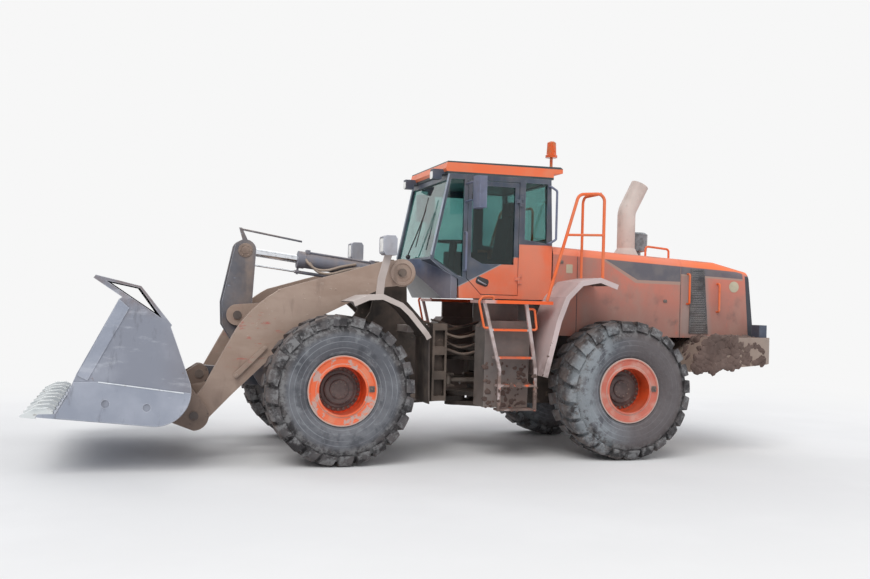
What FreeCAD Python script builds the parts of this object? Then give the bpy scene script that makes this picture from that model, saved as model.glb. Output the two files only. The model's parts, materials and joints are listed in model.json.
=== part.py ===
import FreeCAD, Part
import math
import os
import re
from FreeCAD import Placement, Rotation, Vector

# Wheel loader, in millimetres. While it is built, X runs forward from the
# articulation pin, Y to the left from the middle and Z up from the ground.
# Every finished sub-part is then placed with the origin under the middle of
# the whole machine.

os.makedirs("parts", exist_ok=True)
doc = FreeCAD.newDocument("wheel_loader")
sheet = doc.addObject("Spreadsheet::Sheet", "sizes")

SIZES = {
    # Stance
    "wheelbase": 3500,
    "track": 2240,
    "running_gap": 0.05,
    "seat_gap": 0.3,
    "side_gap": 2,
    "free_gap": 8,
    # Tyre and wheel
    "tyre_radius": 840,
    "tyre_width": 675,
    "tyre_wall": 45,
    "lug_depth": 30,
    "lug_shoulder": 125,
    "lug_count": 24,
    "lug_width": 130,
    "lug_lean": 70,
    "bead_radius": 318,
    "rim_flange": 392,
    "rim_width": 560,
    "rim_thick": 16,
    "rim_recess": 265,
    "disc_inset": 250,
    "disc_thick": 30,
    "hub_radius": 205,
    "hub_length": 60,
    # Axles
    "axle_radius": 135,
    "spindle_radius": 60,
    "spindle_length": 60,
    "diff_radius": 236,
    "diff_width": 420,
    "trunnion_radius": 80,
    "trunnion_span": 360,
    "shaft_radius": 45,
    "shaft_front_end": 70,
    "shaft_rear_end": -60,
    # Articulation
    "pivot_radius": 50,
    "pivot_eye": 130,
    "pivot_plate": 50,
    "pivot_low": 600,
    "pivot_high": 1180,
    "tongue_plate": 60,
    "steering_clear": 735,
    # Rear frame
    "frame_half": 470,
    "frame_plate": 40,
    "frame_bottom": 600,
    "frame_top": 1240,
    "rear_frame_front": -360,
    # Counterweight
    "weight_half": 1200,
    "weight_front": -2985,
    "weight_toe": -2684,
    "weight_rear": -3950,
    "weight_bottom": 1053,
    "weight_rise": 110,
    "weight_top": 1490,
    "towpin_radius": 25,
    "towpin_in": 50,
    # Hood
    "hood_half": 765,
    "hood_front": -985,
    "hood_rear": -3780,
    "hood_toe": -3860,
    "hood_bottom": 1465,
    "hood_top": 2575,
    "hood_top_rear": 2345,
    "hood_round": 110,
    "hood_sheet": 6,
    "split_width": 8,
    "split_depth": 3,
    "split_front": -1320,
    "split_rear": -2780,
    "grille_low": 1520,
    "grille_high": 2350,
    "grille_cells": 7,
    "grille_depth": 12,
    "rear_grille_half": 600,
    "rear_slats": 8,
    # Engine
    "engine_length": 1150,
    "engine_width": 760,
    "engine_height": 820,
    # Cab
    "cab_half": 800,
    "cab_rear": -955,
    "cab_floor": 1900,
    "cab_sill": 2355,
    "cab_top": 3390,
    "cab_front_low": 240,
    "cab_front_sill": 615,
    "cab_front_top": 400,
    "cab_wall": 50,
    "corner_post": 40,
    "rear_post": 95,
    "glass_thick": 6,
    "door_front": 157,
    "door_rear": -514,
    "door_gap": 8,
    "hinge_radius": 10,
    "hinge_out": 18,
    "roof_height": 150,
    "roof_front": 445,
    "roof_rear": -1075,
    "mirror_rear": 105,
    "mirror_front": 225,
    "mirror_in": 1100,
    "mirror_out": 1330,
    "mirror_low": 2950,
    "mirror_high": 3320,
    # Boom
    "boom_inner": 600,
    "boom_plate": 80,
    "boom_eye": 165,
    "boom_tip": 140,
    "tower_x": 920,
    "tower_z": 2180,
    "bucket_pin_x": 3300,
    "bucket_pin_z": 500,
    "pin_radius": 50,
    "cross_x": 2330,
    "cross_z": 1640,
    "cross_radius": 120,
    # Tilt linkage
    "crank_x": 2800,
    "crank_z": 1630,
    "crank_top_x": 2720,
    "crank_top_z": 2400,
    "crank_low_x": 2430,
    "crank_low_z": 880,
    "crank_inner": 112,
    "crank_plate": 45,
    "link_front_x": 3215,
    "link_front_z": 930,
    "link_width": 150,
    "link_ear": 50,
    "bracket_plate": 45,
    # Hydraulic cylinders
    "lift_base_x": 720,
    "lift_base_z": 740,
    "lift_eye_x": 2020,
    "lift_eye_z": 1640,
    "lift_middle": 500,
    "lift_barrel": 88,
    "lift_rod": 50,
    "tilt_barrel": 95,
    "tilt_rod": 48,
    "lift_back_travel": 125,
    "lift_gland_back": 215,
    "tilt_gland_back": 650,
    "tilt_rod_eye": 90,
    "lift_rod_eye": 100,
    "tilt_back_travel": 565,
    "steer_back_travel": 245,
    "steer_base_x": -900,
    "steer_base_y": 235,
    "steer_eye_x": 200,
    "steer_eye_y": 310,
    "steer_z": 880,
    "steer_barrel": 52,
    "steer_rod": 26,
    "steer_pin": 30,
    "steer_foot_half": 55,
    "steer_lug": 62,
    "marker_rod": 12,
    "marker_sleeve": 20,
    "marker_drop": 153,
    "line_radius": 12,
    # Bucket
    "bucket_half": 1600,
    "bucket_sheet": 25,
    "bucket_side": 30,
    "floor_front_x": 4700,
    "floor_front_z": 585,
    "floor_slope": 5.4,
    "back_foot_x": 3405,
    "back_foot_z": 964,
    "back_lean": 70,
    "back_height": 590,
    "heel_radius": 350,
    "lip_tip_x": 4360,
    "lip_tip_z": 2023,
    "guard_x": 3909,
    "guard_z": 1931,
    "edge_length": 160,
    "edge_thick": 48,
    "tooth_tip_x": 5031,
    "tooth_tip_z": 612,
    "tooth_count": 9,
    "tooth_width": 110,
    "wear_plate": 10,
    # Front frame
    "front_plate_out": 395,
    "tower_boss": 110,
    "front_plate": 45,
    "front_frame_rear": 380,
    "step_box_out": 560,
    # Fenders, platform and ladder
    "fender_sheet": 14,
    "fender_out": 1450,
    "fender_in": 800,
    "lamp_bottom": 2375,
    "lamp_middle": 890,
    "platform_top": 1885,
    "platform_out": 1350,
    "platform_plate": 40,
    "rail_radius": 19,
    "rail_bend": 90,
    "grip_radius": 14,
    "grip_out": 55,
    # On the hood
    "stack_x": -2380,
    "stack_radius": 120,
    "cleaner_x": -2700,
    "cleaner_y": -330,
}
for row, (name, value) in enumerate(SIZES.items(), start=1):
    sheet.set(f"A{row}", name)
    sheet.set(f"B{row}", str(value))
    sheet.setAlias(f"B{row}", name)
doc.recompute()

nodes = {}


def size(name):
    """The sheet's value for one name."""
    return float(sheet.get(name))


def bound(text):
    """An expression on the sheet's cells, from plain names."""
    return re.sub(r"[a-z]\w+", lambda found: "sizes." + found.group(), text)


# Where the whole machine's middle lies along X
MIDDLE_X = (size("tooth_tip_x") + size("weight_rear")) / 2
SHIFT = Vector(-MIDDLE_X, 0, 0)


def finish(label, thing):
    """Name a finished sub-part and put it in the machine's own frame."""
    thing.Label = label
    thing.Placement = Placement(SHIFT, Rotation()) * thing.Placement
    nodes[label] = thing
    return thing


def polar(centre, radius, degrees):
    angle = math.radians(degrees)
    return (centre[0] + radius * math.cos(angle), centre[1] + radius * math.sin(angle))


def inset(points, distance):
    """A closed straight-sided outline, drawn anticlockwise, moved inwards."""
    moved = []
    count = len(points)
    for i in range(count):
        before, here, after = points[i - 1], points[i], points[(i + 1) % count]
        a = Vector(here[0] - before[0], here[1] - before[1], 0).normalize()
        b = Vector(after[0] - here[0], after[1] - here[1], 0).normalize()
        n1, n2 = Vector(-a.y, a.x, 0), Vector(-b.y, b.x, 0)
        middle = (n1 + n2).normalize()
        reach = distance / middle.dot(n1)
        moved.append((here[0] + middle.x * reach, here[1] + middle.y * reach))
    return moved


def capsule(start, end, start_radius, end_radius=None):
    """A bar's outline with a round eye at each end."""
    end_radius = end_radius or start_radius
    length = math.dist(start, end)
    heading = math.degrees(math.atan2(end[1] - start[1], end[0] - start[0]))
    splay = math.degrees(math.asin((start_radius - end_radius) / length))
    far, near = 90 - splay, 90 - splay
    return [
        polar(start, start_radius, heading + near),
        (*polar(start, start_radius, heading + 180), *polar(start, start_radius, heading - near)),
        polar(end, end_radius, heading - far),
        (*polar(end, end_radius, heading), *polar(end, end_radius, heading + far)),
    ]


def circle(centre, radius):
    return ("circle", centre[0], centre[1], radius)


def rectangle(x0, y0, x1, y1):
    return [(x0, y0), (x1, y0), (x1, y1), (x0, y1)]


def draw(sketch, outline):
    """One closed outline: points, arcs given as (through, end), or a circle."""
    if outline[0] == "circle":
        centre = Vector(outline[1], outline[2], 0)
        sketch.addGeometry(Part.Circle(centre, Vector(0, 0, 1), outline[3]), False)
        return
    last = Vector(*outline[-1][-2:], 0)
    for step in outline:
        here = Vector(*step[-2:], 0)
        if len(step) == 4:
            through = Vector(step[0], step[1], 0)
            sketch.addGeometry(Part.Arc(last, through, here), False)
        elif (here - last).Length > 1e-6:
            sketch.addGeometry(Part.LineSegment(last, here), False)
        last = here


def new_body(name):
    return doc.addObject("PartDesign::Body", name)


def new_sketch(body, name, role, outlines, start):
    """A sketch on one of the body's own planes, moved along its normal."""
    sketch = body.newObject("Sketcher::SketchObject", name + "_sketch")
    plane = next(f for f in body.Origin.OriginFeatures if f.Role == role)
    sketch.AttachmentSupport = (plane, [""])
    sketch.MapMode = "FlatFace"
    sketch.setExpression("AttachmentOffset.Base.z", start)
    for outline in outlines:
        draw(sketch, outline)
    return sketch


def reach(role, low, high):
    """Where a sketch starts and how long its pad is, as expressions."""
    start = f"-({bound(high)})" if role == "XZ_Plane" else bound(low)
    return start, f"({bound(high)}) - ({bound(low)})"


def add_pad(body, name, role, outlines, low, high):
    """Material between two levels along the axis across the plane."""
    start, length = reach(role, low, high)
    pad = body.newObject("PartDesign::Pad", name)
    pad.Profile = new_sketch(body, name, role, outlines, start)
    pad.setExpression("Length", length)
    doc.recompute()
    return pad


def add_pocket(body, name, role, outlines, low, high):
    """A cut between two levels along the axis across the plane."""
    volume = body.Shape.Volume
    start, length = reach(role, low, high)
    pocket = body.newObject("PartDesign::Pocket", name)
    pocket.Profile = new_sketch(body, name, role, outlines, start)
    pocket.setExpression("Length", length)
    pocket.Reversed = True
    doc.recompute()
    if body.Shape.Volume > volume - 1:
        raise RuntimeError(name + " cuts nothing")
    return pocket


def slab(name, role, outlines, low, high):
    """A body of one pad."""
    body = new_body(name)
    add_pad(body, name + "_pad", role, outlines, low, high)
    return body


def both_sides(name, role, outlines, low, high):
    """The same slab on the left and on the right; low and high are along +Y."""
    left = slab(name + "_left", role, outlines, low, high)
    right = slab(name + "_right", role, outlines, f"-({high})", f"-({low})")
    return [left, right]


def lathe(name, outline, centre=(0, 0, 0), axis="Y"):
    """A body turned about the Y axis through a centre: outline in (radius, y)."""
    body = new_body(name)
    sketch = body.newObject("Sketcher::SketchObject", name + "_sketch")
    plane = next(f for f in body.Origin.OriginFeatures if f.Role == "XY_Plane")
    sketch.AttachmentSupport = (plane, [""])
    sketch.MapMode = "FlatFace"
    draw(sketch, outline)
    turn = body.newObject("PartDesign::Revolution", name + "_turn")
    turn.Profile = sketch
    turn.ReferenceAxis = (sketch, ["V_Axis"])
    turn.Angle = 360
    rotation = {"Y": Rotation(), "Z": Rotation(Vector(1, 0, 0), 90)}[axis]
    body.Placement = Placement(Vector(*centre), rotation)
    doc.recompute()
    return body


def rod(name, start, end, radius):
    """A round bar between two points, its radius bound to the sheet."""
    bar = doc.addObject("Part::Cylinder", name)
    start, end = Vector(*start), Vector(*end)
    bar.Height = (end - start).Length
    bar.setExpression("Radius", bound(radius))
    bar.Placement = Placement(start, Rotation(Vector(0, 0, 1), end - start))
    return bar


def box(name, low, high):
    block = doc.addObject("Part::Box", name)
    block.Length, block.Width, block.Height = (high[i] - low[i] for i in range(3))
    block.Placement = Placement(Vector(*low), Rotation())
    return block


def cut(name, base, tool):
    result = doc.addObject("Part::Cut", name)
    result.Base = base
    result.Tool = tool
    return result


def fuse(name, members):
    result = doc.addObject("Part::MultiFuse", name)
    result.Shapes = members
    result.Refine = False
    return result


def group(label, members):
    """Several separate solids of one kind as one sub-part."""
    whole = doc.addObject("Part::Compound", label)
    whole.Links = members
    doc.recompute()
    return finish(label, whole)


def bent_tube(points, radius, bend):
    """A round bar along a route of straight runs joined by arcs."""
    points = [Vector(*p) for p in points]
    edges, start = [], points[0]
    for before, here, after in zip(points, points[1:], points[2:]):
        a, b = (before - here).normalize(), (after - here).normalize()
        half = a.getAngle(b) / 2
        back = min(bend / math.tan(half), 0.45 * (before - here).Length, 0.45 * (after - here).Length)
        turn = back * math.tan(half)
        first, second = here + a * back, here + b * back
        middle = here + (a + b).normalize() * (turn / math.sin(half) - turn)
        edges.append(Part.LineSegment(start, first).toShape())
        edges.append(Part.Arc(first, middle, second).toShape())
        start = second
    edges.append(Part.LineSegment(start, points[-1]).toShape())
    path = Part.Wire(edges)
    ring = Part.Wire(Part.Circle(points[0], points[1] - points[0], radius).toShape())
    return path.makePipeShell([ring], True, True)


def shaped(label, shapes):
    """A sub-part of bent bars, which no pad or primitive gives."""
    thing = doc.addObject("Part::Feature", label)
    thing.Shape = shapes[0] if len(shapes) == 1 else Part.Compound(shapes)
    return thing


# Points of the linkage, as (x, z)
TOWER = (size("tower_x"), size("tower_z"))
BUCKET_PIN = (size("bucket_pin_x"), size("bucket_pin_z"))
CRANK = (size("crank_x"), size("crank_z"))
CRANK_TOP = (size("crank_top_x"), size("crank_top_z"))
CRANK_LOW = (size("crank_low_x"), size("crank_low_z"))
LINK_FRONT = (size("link_front_x"), size("link_front_z"))
LIFT_BASE = (size("lift_base_x"), size("lift_base_z"))
LIFT_EYE = (size("lift_eye_x"), size("lift_eye_z"))
CROSS = (size("cross_x"), size("cross_z"))
PIN_HOLE = size("pin_radius") + size("running_gap")
EDGE_X = size("floor_front_x") + size("edge_length")
LAMP_LOW = size("lamp_bottom")


def at(point, y):
    return (point[0], y, point[1])


def build_wheel(label, x, side):
    """A tyre and its wheel, side +1 on the left and -1 on the right."""
    radius, width = size("tyre_radius"), size("tyre_width") / 2
    base, wall = radius - size("lug_depth"), size("tyre_wall")
    bead, seat = size("bead_radius"), size("rim_width") / 2
    tread = width - 55
    centre = (x, side * size("track") / 2, radius)
    outline = [
        (bead, -seat + 40),
        (size("rim_flange") + 3, -seat + 22),
        (bead + 260, -width, base - 110, -tread - 20),
        (base - 30, -tread + 40),
        (base, 0, base - 30, tread - 40),
        (base - 110, tread + 20),
        (bead + 260, width, size("rim_flange") + 3, seat - 22),
        (bead, seat - 40),
        (bead, seat - 40 - wall),
        (bead + 90, seat - 20 - wall),
        (bead + 260, width - wall, base - 130, tread - 30),
        (base - wall - 30, tread - 80),
        (base - wall - 30, -tread + 80),
        (base - 130, -tread + 30),
        (bead + 260, -width + wall, bead + 90, -seat + 20 + wall),
        (bead, -seat + 40 + wall),
    ]
    tyre = lathe(label + "_tyre", outline, centre)
    half, lean = size("lug_width") / 2, size("lug_lean")
    foot_level = radius - size("lug_shoulder")
    top_level = math.sqrt(radius ** 2 - (half + lean) ** 2)
    for name, hand, phase in (("outer", 1, 0), ("inner", -1, 180 / size("lug_count"))):
        lug = [(-half, hand * 25), (half, hand * 25), (half + lean, hand * (width - 12)),
               (lean - half - 20, hand * (width - 12))]
        sketch = new_sketch(tyre, f"{label}_{name}_lug", "XY_Plane", [lug], "0")
        sketch.setExpression("AttachmentOffset.Base.z", None)
        up = Vector(math.sin(math.radians(phase)), 0, math.cos(math.radians(phase)))
        sketch.AttachmentOffset = Placement(up * foot_level, Rotation(Vector(0, 1, 0), phase))
        pad = tyre.newObject("PartDesign::Pad", f"{label}_{name}_lug")
        pad.Profile = sketch
        pad.Length = top_level - foot_level
        doc.recompute()
        ring = tyre.newObject("PartDesign::PolarPattern", f"{label}_{name}_lugs")
        ring.Originals = [pad]
        axis = next(f for f in tyre.Origin.OriginFeatures if f.Role == "Y_Axis")
        ring.Axis = (axis, [""])
        ring.Angle = 360
        ring.setExpression("Occurrences", bound("lug_count"))
        tyre.Tip = ring
        doc.recompute()
    for hand in (-1, 1):
        worn = [(radius + 10, tread - 70), (radius, tread - 70), (radius - 12, tread - 20),
                (radius - 45, width - 40), (foot_level + 15, width - 12), (foot_level + 15, width + 10),
                (radius + 10, width + 10)]
        groove = tyre.newObject("PartDesign::Groove", f"{label}_shoulder_{hand + 1}")
        sketch = tyre.newObject("Sketcher::SketchObject", f"{label}_shoulder_{hand + 1}_sketch")
        sketch.AttachmentSupport = (next(f for f in tyre.Origin.OriginFeatures if f.Role == "XY_Plane"), [""])
        sketch.MapMode = "FlatFace"
        draw(sketch, [(r, hand * y) for r, y in worn])
        groove.Profile = sketch
        groove.ReferenceAxis = (sketch, ["V_Axis"])
        groove.Angle = 360
        doc.recompute()
    finish(label + "_tyre", tyre)


def build_rim(label, x, side):
    """The dished wheel with its planetary hub."""
    bead, flange = size("bead_radius") - size("seat_gap"), size("rim_flange")
    half, thick = size("rim_width") / 2, size("rim_thick")
    disc_out = half - size("disc_inset")
    disc_in = disc_out - size("disc_thick")
    hub, hub_out = size("hub_radius"), disc_out + size("hub_length")
    recess = size("rim_recess")
    bore = size("spindle_radius") + size("running_gap")
    depth = disc_in + size("spindle_length") + size("free_gap")
    centre = (x, side * size("track") / 2, size("tyre_radius"))
    barrel = [
        (bead - thick, -half),
        (flange, -half),
        (flange, -half + thick),
        (bead, -half + 35),
        (bead, half - 35),
        (flange, half - thick),
        (flange, half),
        (flange - 22, half),
        (flange - 34, half - 14),
        (recess + 34, half - 20),
        (recess + 20, half - 8),
        (recess, half - 8),
        (recess, disc_out),
        (hub + size("seat_gap"), disc_out),
        (hub + size("seat_gap"), disc_in),
        (bead - thick, disc_in),
    ]
    dish = lathe(label + "_dish", [(r, side * y) for r, y in barrel], centre)
    hub_line = [
        (bore, disc_in),
        (hub, disc_in),
        (hub, disc_out + 14),
        (hub - 30, disc_out + 14),
        (hub - 38, hub_out - 22),
        (hub - 95, hub_out - 22),
        (hub - 100, hub_out - 6),
        (size("spindle_radius"), hub_out),
        (0, hub_out),
        (0, depth),
        (bore, depth),
    ]
    hub_body = lathe(label + "_hub", [(r, side * y) for r, y in hub_line], centre)
    group(label + "_rim", [dish, hub_body])


def build_axle(label, x, shaft_end, trunnions=False):
    """A beam axle with its differential, a spindle at each end and its drive shaft."""
    z = size("tyre_radius")
    hub_face = size("track") / 2 + size("rim_width") / 2 - size("disc_inset") - size("disc_thick")
    end = hub_face - size("free_gap")
    tip = hub_face + size("spindle_length")
    beam = rod(label + "_beam", (x, -end, z), (x, end, z), "axle_radius")
    spindle = rod(label + "_spindle", (x, -tip, z), (x, tip, z), "spindle_radius")
    wide, deep = size("diff_width") / 2, size("diff_radius")
    housing = lathe(label + "_housing", [
        (0, -wide), (deep * 0.8, -wide), (deep, -wide / 2), (deep, wide / 2), (deep * 0.8, wide), (0, wide),
    ], (x, 0, z))
    members = [beam, spindle, housing]
    if trunnions:
        span = size("trunnion_span")
        members.append(rod(label + "_trunnion", (x - span, 0, z), (x + span, 0, z), "trunnion_radius"))
    nose = size("trunnion_span") if trunnions else deep
    hand = 1 if shaft_end > x else -1
    shaft = rod(label + "_shaft", (x + hand * (nose + size("seat_gap")), 0, z), (shaft_end, 0, z), "shaft_radius")
    group(label, [fuse(label + "_casing", members), shaft])


def shaft_hole():
    """Where a drive shaft passes through a wall across the machine."""
    return circle((0, size("tyre_radius")), size("shaft_radius") + size("seat_gap"))


def eye_ring(name, point, radius, hole, low, high):
    """A round eye with a bore, across the machine."""
    return slab(name, "XZ_Plane", [circle(point, radius), circle(point, hole)], low, high)


def weight_face_at(z):
    """How far forward the counterweight's slanted front reaches at a level."""
    low, high = size("weight_bottom"), size("weight_top")
    return size("weight_toe") + (size("weight_front") - size("weight_toe")) * (z - low) / (high - low)


def build_rear_frame():
    bottom, top = size("frame_bottom"), size("frame_top")
    front, low_end = size("rear_frame_front"), size("weight_bottom")
    gap = size("seat_gap") * 1.3
    rail = [(front, bottom), (front, top), (weight_face_at(top) + gap, top),
            (weight_face_at(low_end) + gap, low_end), (size("weight_toe") + 600, bottom)]
    axle = (-size("wheelbase") / 2, size("tyre_radius"))
    arch = circle(axle, size("axle_radius") + 60)
    rails = both_sides("rear_rail", "XZ_Plane", [rail, arch], "frame_half - frame_plate", "frame_half")
    inner = size("frame_half") - size("frame_plate")
    step = size("free_gap") + size("pivot_plate")
    bulk_low = size("pivot_low") - step
    bulk_high = size("pivot_high") + size("tongue_plate") + step
    level, half = size("steer_z"), size("steer_barrel") + 2 * size("free_gap")
    windows = [rectangle(-inner + 10, level - half, -130, level + half),
               rectangle(130, level - half, inner - 10, level + half)]
    bulkheads = [
        slab("rear_bulkhead", "YZ_Plane",
             [rectangle(-size("frame_half"), bulk_low, size("frame_half"), bulk_high), shaft_hole()] + windows,
             "rear_frame_front", "rear_frame_front + frame_plate"),
    ]
    bearer = [(inner, top - 40), (inner + size("frame_plate"), top - 40), (inner + size("frame_plate"), 1470),
              (size("hood_half") - size("hood_sheet") - size("seat_gap"), 1470),
              (size("hood_half") - size("hood_sheet") - size("seat_gap"), 1530), (inner, 1530)]
    for name, side in (("left", 1), ("right", -1)):
        bulkheads.append(slab(f"hood_bearer_{name}", "YZ_Plane", [[(side * y, z) for y, z in bearer]],
                              "hood_front - 125", "hood_front - 75"))
    lug_half, lug_gap = size("steer_lug"), size("steer_foot_half") + size("side_gap")
    for name, side in (("left", 1), ("right", -1)):
        x, y = size("steer_base_x"), size("steer_base_y")
        plan = [(x - lug_half, side * (y - lug_half)), (x + lug_half, side * (y - lug_half)),
                (x + lug_half, side * (inner + 5)), (x - lug_half, side * (inner + 5))]
        for place, low in (("under", level - lug_gap - 25), ("over", level + lug_gap)):
            bulkheads.append(slab(f"steer_lug_{name}_{place}", "XY_Plane", [plan], str(low), str(low + 25)))
        bulkheads.append(rod(f"steer_pin_{name}", (x, side * y, level - lug_gap - 25),
                             (x, side * y, level + lug_gap + 25), "steer_pin"))
    floor = slab("rear_belly", "XY_Plane", [rectangle(-1260, -inner, front, inner)],
                 "frame_bottom", "frame_bottom + 20")
    seat_hole = circle((0, size("tyre_radius")), size("trunnion_radius") + size("running_gap"))
    for i, hand in enumerate((-1, 1)):
        near = axle[0] + hand * (size("trunnion_span") - 20)
        bulkheads.append(slab(f"trunnion_plate_{i}", "YZ_Plane",
                              [rectangle(-inner, bottom + 60, inner, top - 135), seat_hole],
                              str(near - 20), str(near + 20)))
    eye = size("pivot_eye")
    plates = []
    for name, low in (("low", "pivot_low"), ("high", "pivot_high")):
        for place, foot, head in (
            ("under", f"{low} - free_gap - pivot_plate", f"{low} - free_gap"),
            ("over", f"{low} + tongue_plate + free_gap", f"{low} + tongue_plate + free_gap + pivot_plate"),
        ):
            outline = [
                (front, -inner + 40),
                (0, -eye),
                (eye, 0, 0, eye),
                (front, inner - 40),
            ]
            plates.append(slab(f"rear_hinge_{name}_{place}", "XY_Plane", [outline], foot, head))
        low_end = size(low) - step
        high_end = size(low) + size("tongue_plate") + step
        plates.append(rod(f"pivot_pin_{name}", (0, 0, low_end), (0, 0, high_end), "pivot_radius"))
    whole = fuse("rear_frame", rails + bulkheads + [floor] + plates)
    doc.recompute()
    finish("rear_frame", whole)


def build_counterweight():
    front, rear = size("weight_toe"), size("weight_rear")
    bottom, top = size("weight_bottom"), size("weight_top")
    body = new_body("counterweight")
    half_root = math.sqrt(0.5)
    plan = [
        (front, -size("weight_half")),
        (front, size("weight_half")),
        (rear + 260, size("weight_half")),
        (rear + 260 - 260 * half_root, size("weight_half") - 260 + 260 * half_root,
         rear, size("weight_half") - 260),
        (rear, -size("weight_half") + 260),
        (rear + 260 - 260 * half_root, -size("weight_half") + 260 - 260 * half_root,
         rear + 260, -size("weight_half")),
    ]
    add_pad(body, "weight_block", "XY_Plane", [plan], "weight_bottom", "weight_top")
    slope = [(front, bottom), (rear, bottom + size("weight_rise")), (rear, bottom - 50), (front, bottom - 50)]
    add_pocket(body, "weight_slope", "XZ_Plane", [slope], "-weight_half - 10", "weight_half + 10")
    wedge = [(front, bottom), (front + 50, bottom), (front + 50, top + 10), (weight_face_at(top + 10), top + 10)]
    add_pocket(body, "weight_wedge", "XZ_Plane", [wedge], "-weight_half - 10", "weight_half + 10")
    mouth = [(rear - 20, -130), (rear + 130, -130), (rear + 130, 130), (rear - 20, 130)]
    add_pocket(body, "tow_mouth", "XY_Plane", [mouth], "weight_bottom + 200", "weight_bottom + 290")
    bore = circle((rear + size("towpin_in"), 0), size("towpin_radius"))
    add_pocket(body, "tow_bore", "XY_Plane", [bore], "weight_bottom", "weight_top + 10")
    finish("counterweight", body)


def hood_profile():
    front, rear, toe = size("hood_front"), size("hood_rear"), size("hood_toe")
    bottom, top, top_rear = size("hood_bottom"), size("hood_top"), size("hood_top_rear")
    return [(front, bottom), (front, top), (rear + 480, top_rear + 110), (rear, top_rear),
            (toe, size("weight_top") + 160), (toe, size("weight_top") + size("seat_gap")),
            (size("weight_front") + 2, size("weight_top") + size("seat_gap")),
            (size("weight_front") + 25, bottom)]


def hood_top_at(x):
    """The height of the hood's sloping top."""
    high, low = size("hood_top"), size("hood_top_rear") + 110
    run = size("hood_front") - size("hood_rear") - 480
    return high - (size("hood_front") - x) * (high - low) / run


def round_long_edges(body, name, radius, lowest):
    """Round the edges that run lengthwise above a level, on both sides."""
    base = body.Tip
    edges = []
    for i, edge in enumerate(body.Shape.Edges, start=1):
        limits = edge.BoundBox
        if limits.YLength < 1 and limits.XLength > 100 and limits.ZMin > lowest:
            edges.append(f"Edge{i}")
    fillet = body.newObject("PartDesign::Fillet", name)
    fillet.Base = (base, edges)
    fillet.setExpression("Radius", bound(radius))
    doc.recompute()


def build_hood():
    profile = hood_profile()
    steel = size("hood_sheet")
    outer = slab("hood_outer", "XZ_Plane", [profile], "-hood_half", "hood_half")
    round_long_edges(outer, "hood_round_out", "hood_round", size("hood_top_rear") - 5)
    room = [
        (x + 40 if x > size("hood_front") - 2 * steel else x,
         z - 40 if z < size("weight_top") + 20 else z)
        for x, z in inset(profile, steel)
    ]
    inner = slab("hood_inner", "XZ_Plane", [room], "-hood_half + hood_sheet", "hood_half - hood_sheet")
    round_long_edges(inner, "hood_round_in", "hood_round - hood_sheet",
                     size("hood_top_rear") - 5 - 2 * steel)
    shell = cut("hood_shell", outer, inner)
    half, bend = size("hood_half") - size("split_depth"), size("hood_round") - size("split_depth")
    splits = []
    for name in ("split_front", "split_rear"):
        top = hood_top_at(size(name)) - size("split_depth")
        left, right = (half - bend, top - bend), (bend - half, top - bend)
        section = [(-half, 1300), (half, 1300), (half, top - bend), (*polar(left, bend, 45), half - bend, top),
                   (bend - half, top), (*polar(right, bend, 135), -half, top - bend)]
        splits.append(slab("hood_" + name, "YZ_Plane", [rectangle(-950, 1200, 950, 2750), section],
                           f"{name} - split_width / 2", f"{name} + split_width / 2"))
    whole = cut("hood", shell, fuse("hood_splits", splits))
    doc.recompute()
    finish("hood", whole)


def build_grilles():
    """Louvred panels on the hood's sides and across its rear face."""
    low, high, cells = size("grille_low"), size("grille_high"), int(size("grille_cells"))
    frame = 14

    def band(z0, z1, margin):
        share = lambda z: (z - low) / (high - low)
        rear = lambda z: -3190 + 70 * share(z) + margin
        front = lambda z: -2910 - 20 * share(z) - margin
        return [(rear(z0), z0), (front(z0), z0), (front(z1), z1), (rear(z1), z1)]

    pitch = (high - low - frame) / cells
    holes, fins = [], []
    for i in range(cells):
        foot = low + frame + i * pitch
        holes.append(band(foot, foot + pitch - frame, frame))
        for j in (1, 2, 3):
            middle = foot + (pitch - frame) * j / 4
            fins.append(band(middle - 5, middle + 5, frame - 1))
    panels = []
    face, depth = "hood_half + seat_gap", "hood_half + seat_gap + grille_depth"
    for name, side in (("left", 1), ("right", -1)):
        panel = new_body(f"side_grille_{name}")
        for part, outlines, near, far in (("back", [band(low, high, 0)], face, face + " + 3"),
                                          ("frame", [band(low, high, 0)] + holes, face + " + 3", depth),
                                          ("fins", fins, face + " + 3", face + " + 8")):
            ends = (near, far) if side > 0 else (f"-({far})", f"-({near})")
            add_pad(panel, f"side_grille_{name}_{part}", "XZ_Plane", outlines, *ends)
        panels.append(panel)
    top, toe = size("hood_top_rear"), size("weight_top") + 160
    lean = (size("hood_rear") - size("hood_toe")) / (top - toe)
    skin = lambda z: size("hood_rear") - (top - z) * lean - size("seat_gap")
    count, foot = int(size("rear_slats")), toe + 70
    pitch = (top - 65 - foot) / count
    outline = [(skin(foot), foot)]
    for i in range(count):
        outline.append((skin(foot + i * pitch) - 14, foot + i * pitch + (2 if i else 0)))
        outline.append((skin(foot + (i + 1) * pitch) - 4, foot + (i + 1) * pitch))
    outline.append((skin(foot + count * pitch), foot + count * pitch))
    panels.append(slab("rear_grille", "XZ_Plane", [outline], "-rear_grille_half", "rear_grille_half"))
    group("grilles", panels)


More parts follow.
